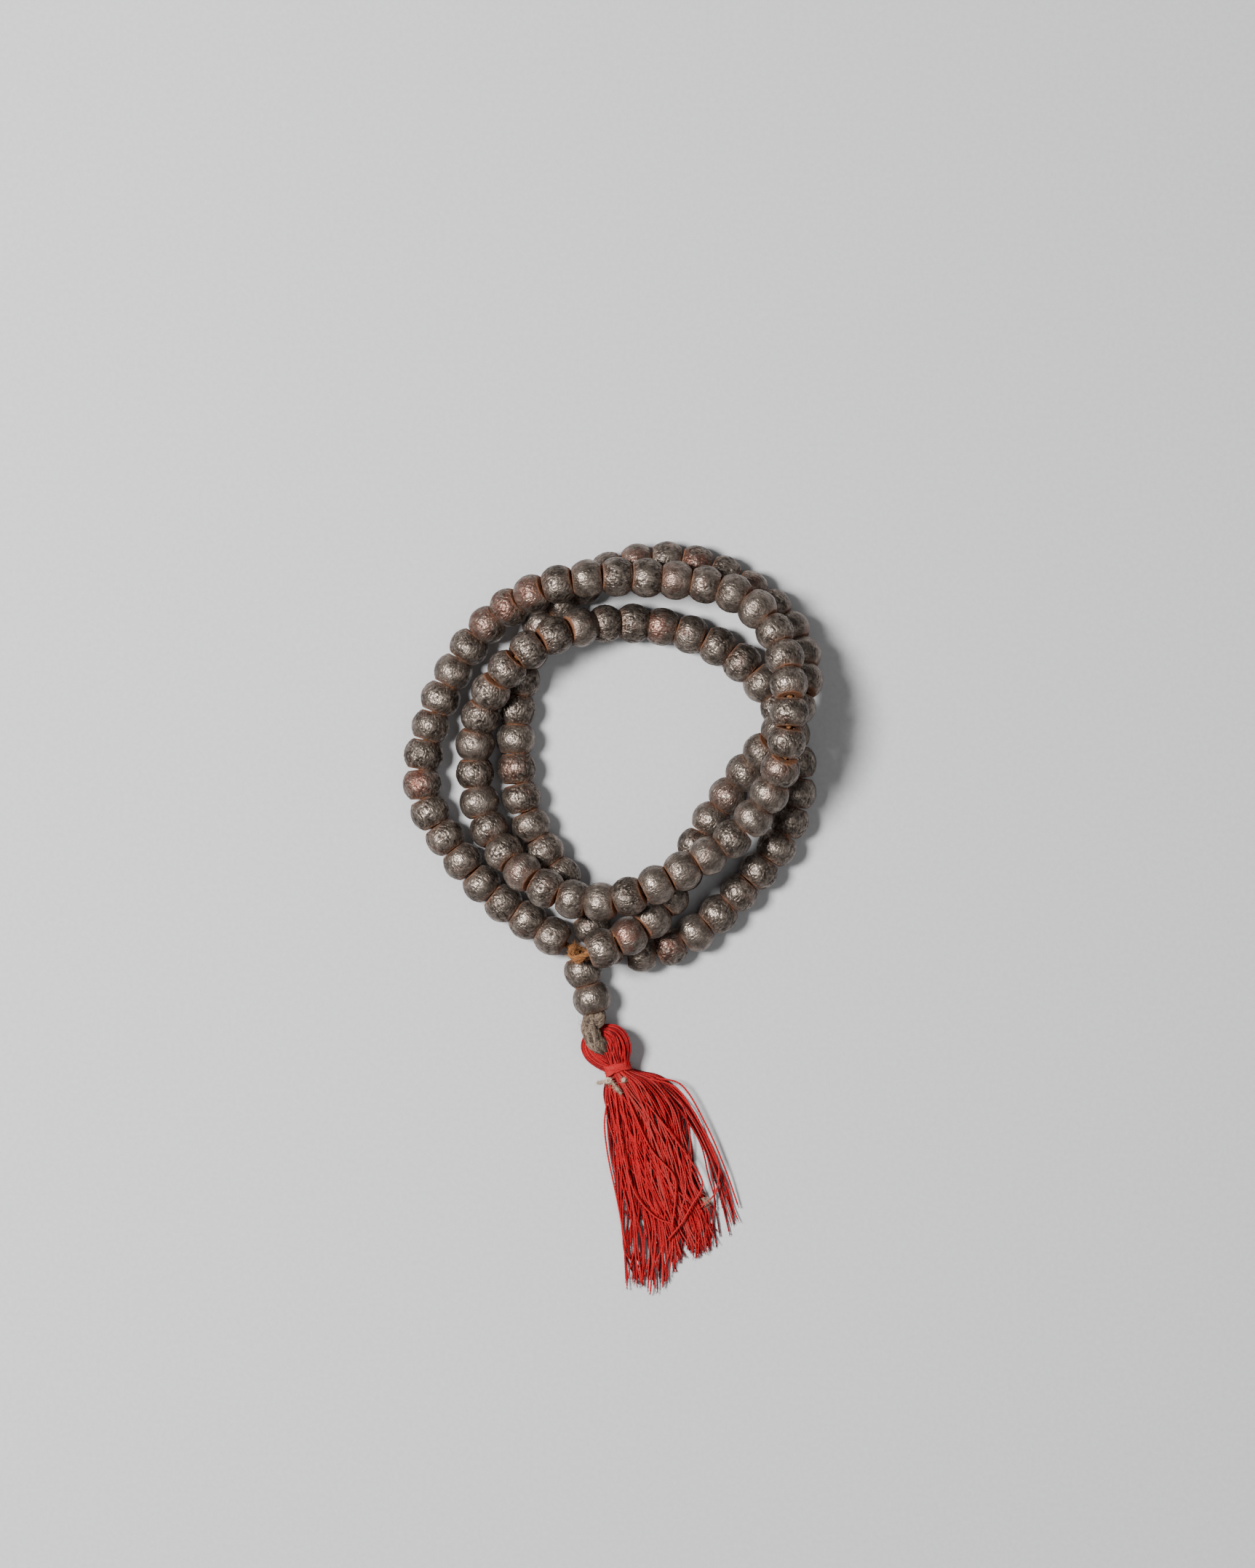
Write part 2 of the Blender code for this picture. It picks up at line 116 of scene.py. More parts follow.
# Looks of a bead
AROUND = 156                 # vertices round a bead
ALONG = 58                   # rings over its outside
BEAD_VISIBLE_RADIUS = 4.70
BEAD_VISIBLE_LENGTH = 6.88
BEAD_RIM = 3.34              # height of the rim between the barrel and its flat end
BEAD_REACH = 4.60            # height where the barrel's outline would meet the bore's axis
BORE_RADIUS = 1.15
GURU_BORE_RADIUS = 1.6
BEADS_IN_PIECE = 10          # joined beads that share one piece
LUMP_HEIGHT = 0.09
PIT_DEPTH = 0.11
ROUGHEST = 1.15              # how strong the creases and pits are on the roughest bead
SMOOTHEST = 0.45             # and on the smoothest

# Creases from broad to fine: how close they lie, how deep they are and how wide
CREASES = ((0.80, 0.15, 0.20), (1.35, 0.13, 0.22), (2.2, 0.075, 0.28))

# Both mouths of the bores of the guru beads, down the cord
GURU_MOUTHS = [(-8.15, -9.6, 4.5), (-5.8, -16.1, 4.5), (-3.9, -22.8, 4.5)]

# Beads with a red-brown patch, and how strong it is
PATCHES = {8: 1.0, 14: 0.7, 15: 0.9, 16: 0.8, 21: 0.5, 30: 0.4, 41: 0.5, 55: 1.0, 70: 0.8, 79: 0.5,
           88: 0.8, 90: 0.9, 92: 0.6, 101: 0.4, 107: 1.0}

# Tassel: the place under the binding where the loop's threads meet, and the way they run
NECK_ALONG = Vector((0.285, -0.958, 0.0)).normalized()
NECK_ACROSS = Vector((0.958, 0.285, 0.0)).normalized()
THREADS = 200                # in the main fall of the skirt
SIDE_THREADS = 13            # in the small group that parts from it on the right
SKIRT_PIECES = 6             # the threads are dealt out among these
SHORT_SHARE = 0.35           # share of the threads that end early
THREAD_PLY = 0.155           # radius of each of a thread's two plies
THREAD_SPREAD = 0.36         # from a thread's middle to a ply's, in radii of the ply
THREAD_TWIST = 1.35          # length of one turn of the twist
GOLDEN_SHARE = 0.618034      # steps of this share spread threads evenly over the pile's height
GOLDEN_TURN = 2.4            # steps of this angle spread threads evenly over the loop's section

# Left and right edge of the skirt and the height of its pile, from the binding down
SKIRT_EDGES = [
    ((-1.1, -38.0), (6.4, -36.9), 6.9), ((-1.7, -42.8), (12.4, -38.6), 6.2),
    ((-1.2, -50.0), (18.6, -45.0), 4.6), ((0.0, -59.0), (23.4, -54.2), 3.5),
    ((1.8, -69.0), (26.8, -61.8), 2.8), ((2.8, -79.0), (29.4, -67.5), 2.1),
]

# Where the tips lie: how far across, x and y
SKIRT_TIPS = [(0.0, 3.4, -87.2), (0.14, 7.0, -86.3), (0.27, 10.4, -88.9), (0.37, 13.5, -84.4),
              (0.47, 16.2, -81.2), (0.62, 20.5, -79.6), (0.78, 24.6, -77.2), (0.88, 28.0, -74.2),
              (1.0, 30.9, -71.0)]

# How far across the skirt its main fall reaches at each of those places and at the tips, and how much
# of the width the small group at the right takes
MAIN_REACH = (0.95, 0.94, 0.90, 0.80, 0.75, 0.79, 0.82)
SIDE_REACH = (0.30, 0.24, 0.16, 0.10, 0.13, 0.20, 0.22)

# Ways a thread of the main fall may hang, as the lowest and highest start across it and the drift to
# the right: straight, swept to the right over the others, or fallen back to the left
FALLS = [(0.0, 1.0, 0.0), (0.02, 0.45, 0.38), (0.0, 0.9, 0.06), (0.15, 0.60, -0.18), (0.30, 0.85, 0.15),
         (0.5, 1.0, 0.0)]

# Single threads that stray over the others
STRAYS = [
    [(9.0, -38.4, 5.5), (15.5, -41.0, 4.4), (21.0, -49.5, 3.6), (24.8, -57.5, 3.2), (25.4, -61.5, 2.8),
     (24.4, -66.0, 2.6), (21.2, -69.2, 2.6)],
    [(0.6, -41.0, 5.0), (1.6, -50.0, 4.2), (3.2, -59.0, 3.8), (5.2, -65.5, 3.5), (8.4, -69.9, 3.3),
     (11.2, -72.1, 3.1), (14.2, -73.1, 3.0)],
    [(8.0, -44.0, 5.4), (15.0, -53.0, 4.6), (20.5, -61.0, 3.8), (21.3, -64.6, 3.5), (19.1, -68.4, 3.3),
     (16.6, -72.8, 3.1), (13.6, -76.6, 2.8)],
    [(4.0, -44.0, 5.6), (9.0, -55.0, 4.4), (14.5, -61.5, 3.8), (15.0, -66.5, 3.5), (14.2, -74.0, 3.0)],
    [(10.5, -38.2, 5.0), (16.8, -40.4, 3.6), (22.6, -50.2, 2.8), (27.0, -60.5, 2.2), (29.9, -68.8, 1.4)],
    [(-1.4, -44.5, 2.0), (-1.9, -50.0, 1.6), (-1.0, -57.5, 1.2), (1.2, -68.0, 1.0), (3.2, -78.5, 0.8)],
]

# Middle of the skein that makes the tassel's loop: x, y, z, half its width, half its thickness, and how
# far its edge nearer the cord is raised (degrees)
LOOP_BAND = [
    (2.0, -38.0, 4.3, 1.8, 1.4, 0), (1.8, -35.6, 5.0, 2.4, 1.5, 6), (1.3, -33.2, 5.7, 3.2, 1.4, 16),
    (0.9, -30.7, 6.0, 3.9, 1.4, 20), (0.0, -28.7, 5.3, 3.5, 1.3, 18), (-1.9, -27.6, 4.0, 2.2, 1.2, 8),
    (-3.8, -27.8, 3.1, 1.4, 0.9, 0), (-5.4, -28.9, 3.0, 1.4, 1.0, 0), (-6.0, -30.8, 3.1, 1.5, 1.2, 0),
    (-5.0, -32.8, 3.4, 1.7, 1.4, 0), (-2.9, -34.3, 3.7, 1.9, 1.5, 0), (-0.6, -35.6, 4.0, 1.9, 1.5, 0),
    (1.2, -38.0, 4.2, 1.6, 1.4, 0),
]
LOOP_THREADS = 100

# Binding, and its windings: how far each leans, how many turns it has and how far it spreads
WRAP_RADIUS = 3.0
WRAP_MIDDLE = Vector((1.25, -35.9, 4.3))
WRAP_STEPS = 14              # places in each turn
WINDINGS = ((0.60, 7, 0.50), (-0.80, 6, 0.45), (0.15, 6, 0.85), (0.9, 3, 0.3))

# Both strands of the fibre cord, from inside the guru beads to the end of its loop: x, y, z, radius
LINK_STRANDS = [
    [(-6.2, -15.0, 4.5, 0.9), (-5.4, -18.0, 4.5, 0.9), (-4.5, -22.0, 4.6, 1.3), (-5.1, -24.2, 5.2, 2.0),
     (-5.2, -26.4, 5.7, 2.2), (-4.6, -28.6, 5.8, 2.2), (-3.2, -30.4, 5.4, 2.1), (-1.6, -31.2, 4.2, 1.7),
     (-1.0, -31.0, 2.6, 1.3), (-2.0, -30.4, 1.4, 1.1), (-3.6, -29.4, 1.1, 1.0), (-4.6, -27.4, 1.1, 1.0)],
    [(-5.9, -15.6, 4.5, 0.9), (-5.0, -18.8, 4.5, 0.9), (-3.7, -22.2, 4.8, 1.4), (-2.9, -23.7, 5.8, 1.5),
     (-3.7, -25.1, 6.9, 1.4), (-5.6, -25.7, 6.0, 1.3), (-6.3, -26.2, 4.0, 1.2), (-5.2, -26.3, 2.2, 1.1),
     (-4.2, -26.0, 1.2, 1.0)],
]
LINK_TWIST = 21.0            # length of one turn of the cord's twist
LINK_SPACING = 0.22          # between places along it
LINK_WISPS = 200             # wavy fibres on each strand

# Layers of a strand: how many plies, their distance from its middle and their radius, both as shares
LINK_LAYERS = ((1, 0.0, 0.62), (7, 0.66, 0.34))

# Off-white thread laid over the top of the skirt
TIE_PATH = [(-3.5, -39.5, 4.2), (-2.6, -39.3, 5.4), (-1.5, -39.1, 6.4), (-0.6, -38.9, 6.9),
            (0.2, -39.5, 6.9), (0.8, -40.4, 6.8), (1.4, -41.2, 6.6), (2.2, -42.1, 6.2)]
TIE_COILS = (((-0.8, -38.8, 7.0), 0.55), ((2.7, -38.6, 7.0), 0.30))       # small knots: middle, radius

# Tuft of fluff caught in the skirt
FLUFF_MIDDLE = (22.3, -67.6, 2.9)
FLUFF_FIBRES = 36

HAIR_RADIUS = 0.022
LOWEST = 0.02                # least height of a mesh over the table

# Floor, lamps (name, place, size and power) and camera, in metres and watts
FLOOR_REACH = 4.0
LAMPS = (("key", (-0.54, 0.12, 0.94), 0.28, 27.0), ("fill", (0.55, -0.25, 1.2), 1.2, 4.0))
STUDIO_COLOUR = (0.80, 0.81, 0.83, 1.0)
STUDIO_STRENGTH = 0.16
CAMERA_SPOT = (0.0036, 0.0317, 1.30)
SEEN_LEVEL = 0.006           # height over the table where the view is measured
SEEN_LENGTH = 0.373          # from the top of the picture to the bottom, at that height

COLOURS = {
    "iron_dark": (0.043, 0.032, 0.025), "iron_light": (0.41, 0.335, 0.28),
    "iron_rust": (0.15, 0.050, 0.015), "iron_patch": (0.19, 0.062, 0.040),
    "red_deep": (0.050, 0.0005, 0.002), "red_bright": (0.41, 0.003, 0.007),
    # The pale, pinkish red is a painted highlight for the lit threads on top of the tassel.
    "red_highlight": (0.32, 0.034, 0.030),
    "string_deep": (0.08, 0.028, 0.008), "string_bright": (0.29, 0.125, 0.043),
    "fibre_deep": (0.030, 0.020, 0.014), "fibre_bright": (0.26, 0.19, 0.138),
    "tie_deep": (0.20, 0.13, 0.085), "tie_bright": (0.52, 0.39, 0.285),
    "floor": (0.52, 0.52, 0.53),
}


def spline(points):
    """Read a smooth curve through the points (centripetal Catmull-Rom)."""
    ends = [2 * points[0] - points[1]] + points + [2 * points[-1] - points[-2]]
    curve = []
    for before, start, end, after in zip(ends, ends[1:], ends[2:], ends[3:]):
        knots = [0.0]
        for one, other in ((before, start), (start, end), (end, after)):
            knots.append(knots[-1] + math.sqrt((other - one).length))
        k0, k1, k2, k3 = knots
        for step in range(CURVE_STEPS):
            k = k1 + (k2 - k1) * step / CURVE_STEPS
            a = before.lerp(start, (k - k0) / (k1 - k0))
            b = start.lerp(end, (k - k1) / (k2 - k1))
            c = end.lerp(after, (k - k2) / (k3 - k2))
            d = a.lerp(b, (k - k0) / (k2 - k0))
            e = b.lerp(c, (k - k1) / (k3 - k1))
            curve.append(d.lerp(e, (k - k1) / (k2 - k1)))
    curve.append(points[-1].copy())
    return curve


def strands_below(spot):
    """How many strands lie below the route at one point of its curve."""
    part = min(spot // CURVE_STEPS, len(ROUTE) - 2)
    share = spot / CURVE_STEPS - part
    return ROUTE[part][2] * (1 - share) + ROUTE[part + 1][2] * share


def walk(curve, heights):
    """Step along the route so that neighbouring gaps are one pitch apart in space."""
    gaps = [curve[0].copy()]
    strands = [strands_below(0)]
    spot = 0
    for here, there in zip(heights, heights[1:]):
        rise = min(abs(there - here), STEEPEST * BEAD_PITCH)
        step = math.sqrt(BEAD_PITCH ** 2 - rise ** 2)
        while spot < len(curve) - 1 and (curve[spot + 1] - gaps[-1]).length < step:
            spot += 1
        if spot < len(curve) - 1:
            inner = (curve[spot] - gaps[-1]).length
            outer = (curve[spot + 1] - gaps[-1]).length
            gaps.append(curve[spot].lerp(curve[spot + 1], (step - inner) / (outer - inner)))
        else:
            onward = (curve[-1] - curve[-2]).normalized()
            gaps.append(gaps[-1] + onward * step)
        strands.append(strands_below(spot))
    return gaps, strands


def lift(gaps, strands, heights):
    """Ease the string towards the table, then raise each bead just clear of those under it."""
    table = BEAD_DIAMETER / 2
    eased = list(heights)
    for middle in range(1, BEAD_COUNT):
        mean = (heights[middle - 1] + 2 * heights[middle] + heights[middle + 1]) / 4
        eased[middle] = max(table, mean - SAG)
    middles = [(a + b) / 2 for a, b in zip(gaps, gaps[1:])]
    for low in range(BEAD_COUNT):
        for high in range(BEAD_COUNT):
            over = strands[high] + strands[high + 1] - strands[low] - strands[low + 1]
            apart = (middles[high] - middles[low]).length
            if over < CROSSING or apart >= CLEARANCE or abs(high - low) < 3:
                continue
            needed = math.sqrt(CLEARANCE ** 2 - apart ** 2)
            present = (eased[high] + eased[high + 1] - eased[low] - eased[low + 1]) / 2
            if present < needed:
                eased[high] += needed - present
                eased[high + 1] += needed - present
    rounded = list(eased)
    for middle in range(1, BEAD_COUNT):
        excess = eased[middle] - CREST - (eased[middle - 1] + eased[middle + 1]) / 2
        for side in (middle - 1, middle + 1):
            if excess > 0:
                rounded[side] = max(rounded[side], min(eased[middle], eased[side] + excess))
    return rounded


def lay_string():
    """Lay the string: the gaps between beads, from before the first bead to after the last."""
    curve = spline([Vector((x, y)) for x, y, _ in ROUTE])
    heights = [BEAD_DIAMETER / 2] * (BEAD_COUNT + 1)
    for _ in range(LAYING_ROUNDS):
        gaps, strands = walk(curve, heights)
        heights = lift(gaps, strands, heights)
    gaps, strands = walk(curve, heights)
    return [Vector((gap.x, gap.y, height)) for gap, height in zip(gaps, heights)]


def lattice(cells, seed):
    """Repeatable scattered values from -1 to 1 for whole-number places."""
    mixed = (cells[..., 0] * 374761393 + cells[..., 1] * 668265263 + cells[..., 2] * 461845907
             + seed * 97531) & 0xFFFFFFFF
    mixed = ((mixed ^ (mixed >> 13)) * 1274126177) & 0xFFFFFFFF
    mixed = ((mixed ^ (mixed >> 15)) * 1103515245) & 0xFFFFFFFF
    return ((mixed ^ (mixed >> 16)) & 0xFFFF) / 32767.5 - 1


def noise(places, seed):
    """Smooth gradient noise, about -1 to 1, with features one unit apart."""
    cells = np.floor(places).astype(np.int64)
    inside = places - cells
    ease = inside * inside * inside * (inside * (inside * 6 - 15) + 10)
    total = np.zeros(len(places))
    for corner in np.ndindex(2, 2, 2):
        step = np.array(corner)
        weight = np.prod(np.where(step == 1, ease, 1 - ease), axis=1)
        slope = np.stack([lattice(cells + step, seed + 7 * k) for k in range(3)], axis=1)
        total += weight * np.sum(slope * (inside - step), axis=1)
    return total * 1.5


def nearest_spot(places, seed):
    """Distance to the nearest of scattered spots, one in each unit cell."""
    cells = np.floor(places).astype(np.int64)
    best = np.full(len(places), 9.0)
    for shift in np.ndindex(3, 3, 3):
        near = cells + np.array(shift) - 1
        spot = near + 0.5 + 0.45 * np.stack([lattice(near, seed + 11 * k) for k in range(3)], axis=1)
        best = np.minimum(best, np.linalg.norm(places - spot, axis=1))
    return best


def smoothstep(low, high, value):
    """Share from 0 at low to 1 at high, with soft ends."""
    share = np.clip((value - low) / (high - low), 0, 1)
    return share * share * (3 - 2 * share)


def bead_profile(bore):
    """Closed outline of a bead as (radius, height): a flat end, the barrel, a flat end, the bore."""
    tall = np.linspace(BEAD_RIM, -BEAD_RIM, 400)
    wide = BEAD_VISIBLE_RADIUS * np.sqrt(1 - (tall / BEAD_REACH) ** 2)
    end = BEAD_VISIBLE_LENGTH / 2
    corner = wide[0]
    flat = [(bore + 0.25, end), (corner - 0.35, end), (corner - 0.15, end - 0.02)]
    radii = np.concatenate([[at for at, _ in flat], wide, [at for at, _ in reversed(flat)]])
    heights = np.concatenate([[at for _, at in flat], tall, [-at for _, at in reversed(flat)]])
    reach = np.concatenate([[0], np.cumsum(np.hypot(np.diff(radii), np.diff(heights)))])
    steps = np.linspace(0, reach[-1], ALONG)
    outline = list(zip(np.interp(steps, reach, radii), np.interp(steps, reach, heights)))
    low = outline[-1][1]
    outline += [(bore + 0.05, low + 0.06), (bore, low + 0.3), (bore, low + 1.2), (bore, -low - 1.2),
                (bore, -low - 0.3), (bore + 0.05, -low - 0.06)]
    return np.array(outline)


def bead_relief(places, seed, strength):
    """Height of a bead's pitted, creased skin: lumps, creases that run along the bore, and pits."""
    lumps = LUMP_HEIGHT * noise(places * 0.33, seed)
    warp = noise(places * 0.8, seed + 1)[:, None] * 0.6
    creases = np.zeros(len(places))
    for scale, depth, width in CREASES:
        bent = places * np.array([1.0, 1.0, 0.45]) * scale + warp
        level = np.minimum(np.abs(noise(bent, seed + int(10 * scale))) / width, 1)
        creases -= depth * (1 - level) ** 1.4
    patchy = 0.5 + 0.5 * smoothstep(-0.35, 0.25, noise(places * 0.45, seed + 5))
    pits = -PIT_DEPTH * np.exp(-(nearest_spot(places * 1.15, seed + 3) / 0.30) ** 2)
    return lumps + strength * (creases * patchy + pits)


def bead_mesh_data(seed, bore, patch, up):
    """Corners, faces and paint of one bead round its own Z, in millimetres."""
    chance = np.random.default_rng(seed)
    outline = bead_profile(bore)
    turn = np.arange(AROUND) * 2 * math.pi / AROUND
    radius, height = outline[:, 0][:, None], outline[:, 1][:, None]
    corners = np.stack([radius * np.cos(turn), radius * np.sin(turn),
                        np.repeat(height, AROUND, axis=1)], axis=2)
    slope = np.roll(outline, -1, axis=0) - np.roll(outline, 1, axis=0)
    normal = np.stack([-slope[:, 1], slope[:, 0]], axis=1)
    normal /= np.linalg.norm(normal, axis=1)[:, None]
    outward = np.stack([normal[:, :1] * np.cos(turn), normal[:, :1] * np.sin(turn),
                        np.repeat(normal[:, 1:], AROUND, axis=1)], axis=2)
    corners = corners.reshape(-1, 3)
    outward = outward.reshape(-1, 3)
    relief = bead_relief(corners, seed, chance.uniform(SMOOTHEST, ROUGHEST))
    share = np.abs(corners[:, 2]) / (BEAD_VISIBLE_LENGTH / 2)
    relief *= 1 - 0.8 * smoothstep(0.96, 1.0, share)
    ragged = share + 0.05 * noise(corners * 0.8, seed + 21)
    rim = 0.20 * smoothstep(0.55, 0.90, ragged) + 0.80 * smoothstep(0.94, 0.99, ragged)
    spread = outward @ up + 0.45 * noise(corners * 0.42, seed + 31)
    stain = 0.30 * smoothstep(0.25, 0.7, noise(corners * 0.30, seed + 41))
    patched = np.maximum(patch * smoothstep(0.45, 0.95, spread), stain)
    paint = {"height": relief, "rim": rim, "patch": patched, "place": corners + chance.uniform(-50, 50, 3)}
    size = np.array([chance.uniform(0.97, 1.02)] * 2 + [chance.uniform(0.97, 1.03)])
    corners = (corners + outward * relief[:, None]) * size
    rows, columns = np.meshgrid(np.arange(len(outline)), np.arange(AROUND), indexing="ij")
    below, beside = (rows + 1) % len(outline), (columns + 1) % AROUND
    faces = np.stack([rows * AROUND + columns, below * AROUND + columns, below * AROUND + beside,
                      rows * AROUND + beside], axis=2).reshape(-1, 4)
    return corners, faces, paint


def make_mesh(name, corners, faces, paint):
    """Mesh of four-cornered faces from millimetres, with its paint as attributes."""
    mesh = bpy.data.meshes.new(name)
    mesh.vertices.add(len(corners))
    mesh.vertices.foreach_set("co", (corners * MM).astype(np.float32).ravel())
    mesh.loops.add(len(faces) * 4)
    mesh.loops.foreach_set("vertex_index", faces.astype(np.int32).ravel())
    mesh.polygons.add(len(faces))
    mesh.polygons.foreach_set("loop_start", np.arange(len(faces), dtype=np.int32) * 4)
    mesh.update(calc_edges=True)
    mesh.shade_smooth()
    for key, values in paint.items():
        kind = "FLOAT_VECTOR" if values.ndim == 2 else "FLOAT"
        attribute = mesh.attributes.new(key, kind, "POINT")
        attribute.data.foreach_set("vector" if values.ndim == 2 else "value",
                                   values.astype(np.float32).ravel())
    return mesh


def place(start, end):
    """Frame half way along a bead, in millimetres, with Z along the string."""
    along = (end - start).normalized()
    side = Vector((0.0, 0.0, 1.0)).cross(along).normalized()
    matrix = Matrix((side, along.cross(side), along)).transposed().to_4x4()
    matrix.translation = (start + end) / 2
    return matrix


def merge(shapes):
    """Join (corners, faces, paint) shapes into one."""
    offsets = np.cumsum([0] + [len(corners) for corners, _, _ in shapes[:-1]])
    corners = np.concatenate([shape[0] for shape in shapes])
    faces = np.concatenate([shape[1] + offset for shape, offset in zip(shapes, offsets)])
    paint = {key: np.concatenate([shape[2][key] for shape in shapes]) for key in shapes[0][2]}
    return corners, faces, paint


def add_piece(name, shape, material, body, slot, *nodes):
    """Object of a shape that rides a body and stands for CAD nodes."""
    shape[0][:, 2] = np.maximum(shape[0][:, 2], LOWEST)
    thing = bpy.data.objects.new(name, make_mesh(name, *shape))
    thing.data.materials.append(material)
    bpy.context.scene.collection.objects.link(thing)
    if nodes:
        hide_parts(*nodes)
    if body:
        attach(thing, body)
    return thing


def moved(shape, matrix):
    """Shape taken from its own frame to its place on the table."""
    corners, faces, paint = shape
    turned = corners @ np.array(matrix.to_3x3()).T + np.array(matrix.translation)
    return turned, faces, paint


def placed_bead(number, start, end, bore=BORE_RADIUS, patch=0.0):
    """One bead in its place, turned by chance about the string and tipped a little."""
    chance = np.random.default_rng(1000 + number)
    matrix = place(start, end) @ Matrix.Rotation(chance.uniform(0, 2 * math.pi), 4, "Z")
    matrix = matrix @ Matrix.Rotation(math.radians(chance.uniform(-2.5, 2.5)), 4, "X")
    up = np.array(matrix.to_3x3().transposed() @ Vector((-0.35, 0.1, 0.93)))
    return moved(bead_mesh_data(number * 17 + 5, bore, patch, up), matrix)


def smooth_path(points, spacing):
    """Evenly spaced places on a smooth curve through points, in as many columns as they have."""
    places = np.array(points, float)
    ends = np.vstack([2 * places[0] - places[1], places, 2 * places[-1] - places[-2]])
    curve = []
    for before, start, end, after in zip(ends, ends[1:], ends[2:], ends[3:]):
        share = np.linspace(0, 1, 16, endpoint=False)[:, None]
        bend = 2 * before - 5 * start + 4 * end - after + share * (3 * (start - end) + after - before)
        curve.append(start + 0.5 * share * (end - before + share * bend))
    curve = np.vstack(curve + [places[-1:]])
    reach = np.concatenate([[0], np.cumsum(np.linalg.norm(np.diff(curve[:, :3], axis=0), axis=1))])
    steps = np.linspace(0, reach[-1], max(4, int(reach[-1] / spacing)))
    return np.stack([np.interp(steps, reach, curve[:, k]) for k in range(curve.shape[1])], axis=1)


def directions(path, reference):
    """Sideways and upward directions along a path."""
    along = np.gradient(path, axis=0)
    along /= np.linalg.norm(along, axis=1)[:, None] + 1e-9
    side = np.cross(reference, along)
    side /= np.linalg.norm(side, axis=1)[:, None] + 1e-9
    return side, np.cross(along, side)


def tube(path, radius, sides, reference, shade):
    """Closed round tube along a path, narrower at its ends.  radius is a number or one for each point."""
    side, up = directions(path, reference)
    radii = np.broadcast_to(np.asarray(radius, float), len(path)).copy()
    path = np.vstack([path[:1], path, path[-1:]])
    side, up = np.vstack([side[:1], side, side[-1:]]), np.vstack([up[:1], up, up[-1:]])
    radii = np.concatenate([[radii[0] * 0.02], radii, [radii[-1] * 0.02]])
    radii[1] *= 0.6
    radii[-2] *= 0.6
    turn = np.arange(sides) * 2 * math.pi / sides
    corners = (path[:, None] + radii[:, None, None] * (side[:, None] * np.cos(turn)[:, None]
               + up[:, None] * np.sin(turn)[:, None])).reshape(-1, 3)
    rows, columns = np.meshgrid(np.arange(len(path) - 1), np.arange(sides), indexing="ij")
    beside = (columns + 1) % sides
    faces = np.stack([rows * sides + columns, rows * sides + beside, (rows + 1) * sides + beside,
                      (rows + 1) * sides + columns], axis=2).reshape(-1, 4)
    return corners, faces, {"shade": np.full(len(corners), shade)}


def twisted(path, ply_radius, offset, plies, turn_length, reference, shade, sides=5, start=0.0):
    """Plies wound round a path.  offset and ply_radius are numbers or one for each point."""
    side, up = directions(path, reference)
    reach = np.concatenate([[0], np.cumsum(np.linalg.norm(np.diff(path, axis=0), axis=1))])
    offset = np.broadcast_to(np.asarray(offset, float), len(path))[:, None]
    shapes = []
    for ply in range(plies):
        turn = (start + 2 * math.pi * (ply / plies + reach / turn_length))[:, None]
        wound = path + offset * (side * np.cos(turn) + up * np.sin(turn))
        shapes.append(tube(wound, ply_radius, sides, reference, shade + 0.06 * (ply % 2)))
    return shapes


def hairs(path, count, length, radius, reference, shade, chance):
    """Fine loose fibres that stand off a path."""
    side, up = directions(path, reference)
    shapes = []
    for _ in range(count):
        here = chance.integers(1, len(path) - 1)
        turn = chance.uniform(0, 2 * math.pi)
        out = side[here] * math.cos(turn) + up[here] * math.sin(turn)
        along = path[here + 1 if here + 2 < len(path) else here] - path[here - 1]
        along /= np.linalg.norm(along) + 1e-9
        lean = chance.uniform(-1.2, 1.2)
        drift = chance.normal(0, 0.5, 3)
        reach = length * chance.uniform(0.4, 1.0)
        root = path[here] + out * radius * 0.7
        points = [root + reach * share * (out * (1 - 0.45 * share) + along * lean + drift * share)
                  for share in (0, 0.35, 0.7, 1.0)]
        strand = np.array(points)
        strand[:, 2] = np.maximum(strand[:, 2], 0.03)
        shapes.append(tube(strand, HAIR_RADIUS, 3, reference, shade))
    return shapes


def new_material(name):
    """Material with its nodes and links."""
    material = bpy.data.materials.new(name)
    material.use_nodes = True
    return material, material.node_tree.nodes, material.node_tree.links


def add_node(nodes, kind, **inputs):
    """Node with its named inputs set."""
    node = nodes.new(kind)
    for key, value in inputs.items():
        node.inputs[key.replace("_", " ")].default_value = value
    return node


def paint_of(nodes, name, output="Fac"):
    """Socket of an attribute that the mesh carries."""
    node = nodes.new("ShaderNodeAttribute")
    node.attribute_name = name
    return node.outputs[output]


def mixed(nodes, links, share, first, second):
    """Colour that goes from first to second as share goes from 0 to 1."""
    node = nodes.new("ShaderNodeMix")
    node.data_type = "RGBA"
    links.new(share, node.inputs["Factor"])
    for value, socket in ((first, node.inputs[6]), (second, node.inputs[7])):
        if isinstance(value, tuple):
            socket.default_value = (*value, 1.0)
        else:
            links.new(value, socket)
    return node.outputs[2]


def ranged(nodes, links, value, low, high, to_low, to_high):
    """Socket that goes from to_low to to_high as value goes from low to high."""
    node = add_node(nodes, "ShaderNodeMapRange", From_Min=low, From_Max=high, To_Min=to_low, To_Max=to_high)
    links.new(value, node.inputs["Value"])
    return node.outputs["Result"]


def summed(nodes, links, first, second, operation="ADD"):
    """Sum of two sockets or numbers, or what another operation makes of them."""
    node = nodes.new("ShaderNodeMath")
    node.operation = operation
    for value, socket in ((first, node.inputs[0]), (second, node.inputs[1])):
        if isinstance(value, float):
            socket.default_value = value
        else:
            links.new(value, socket)
    return node.outputs[0]


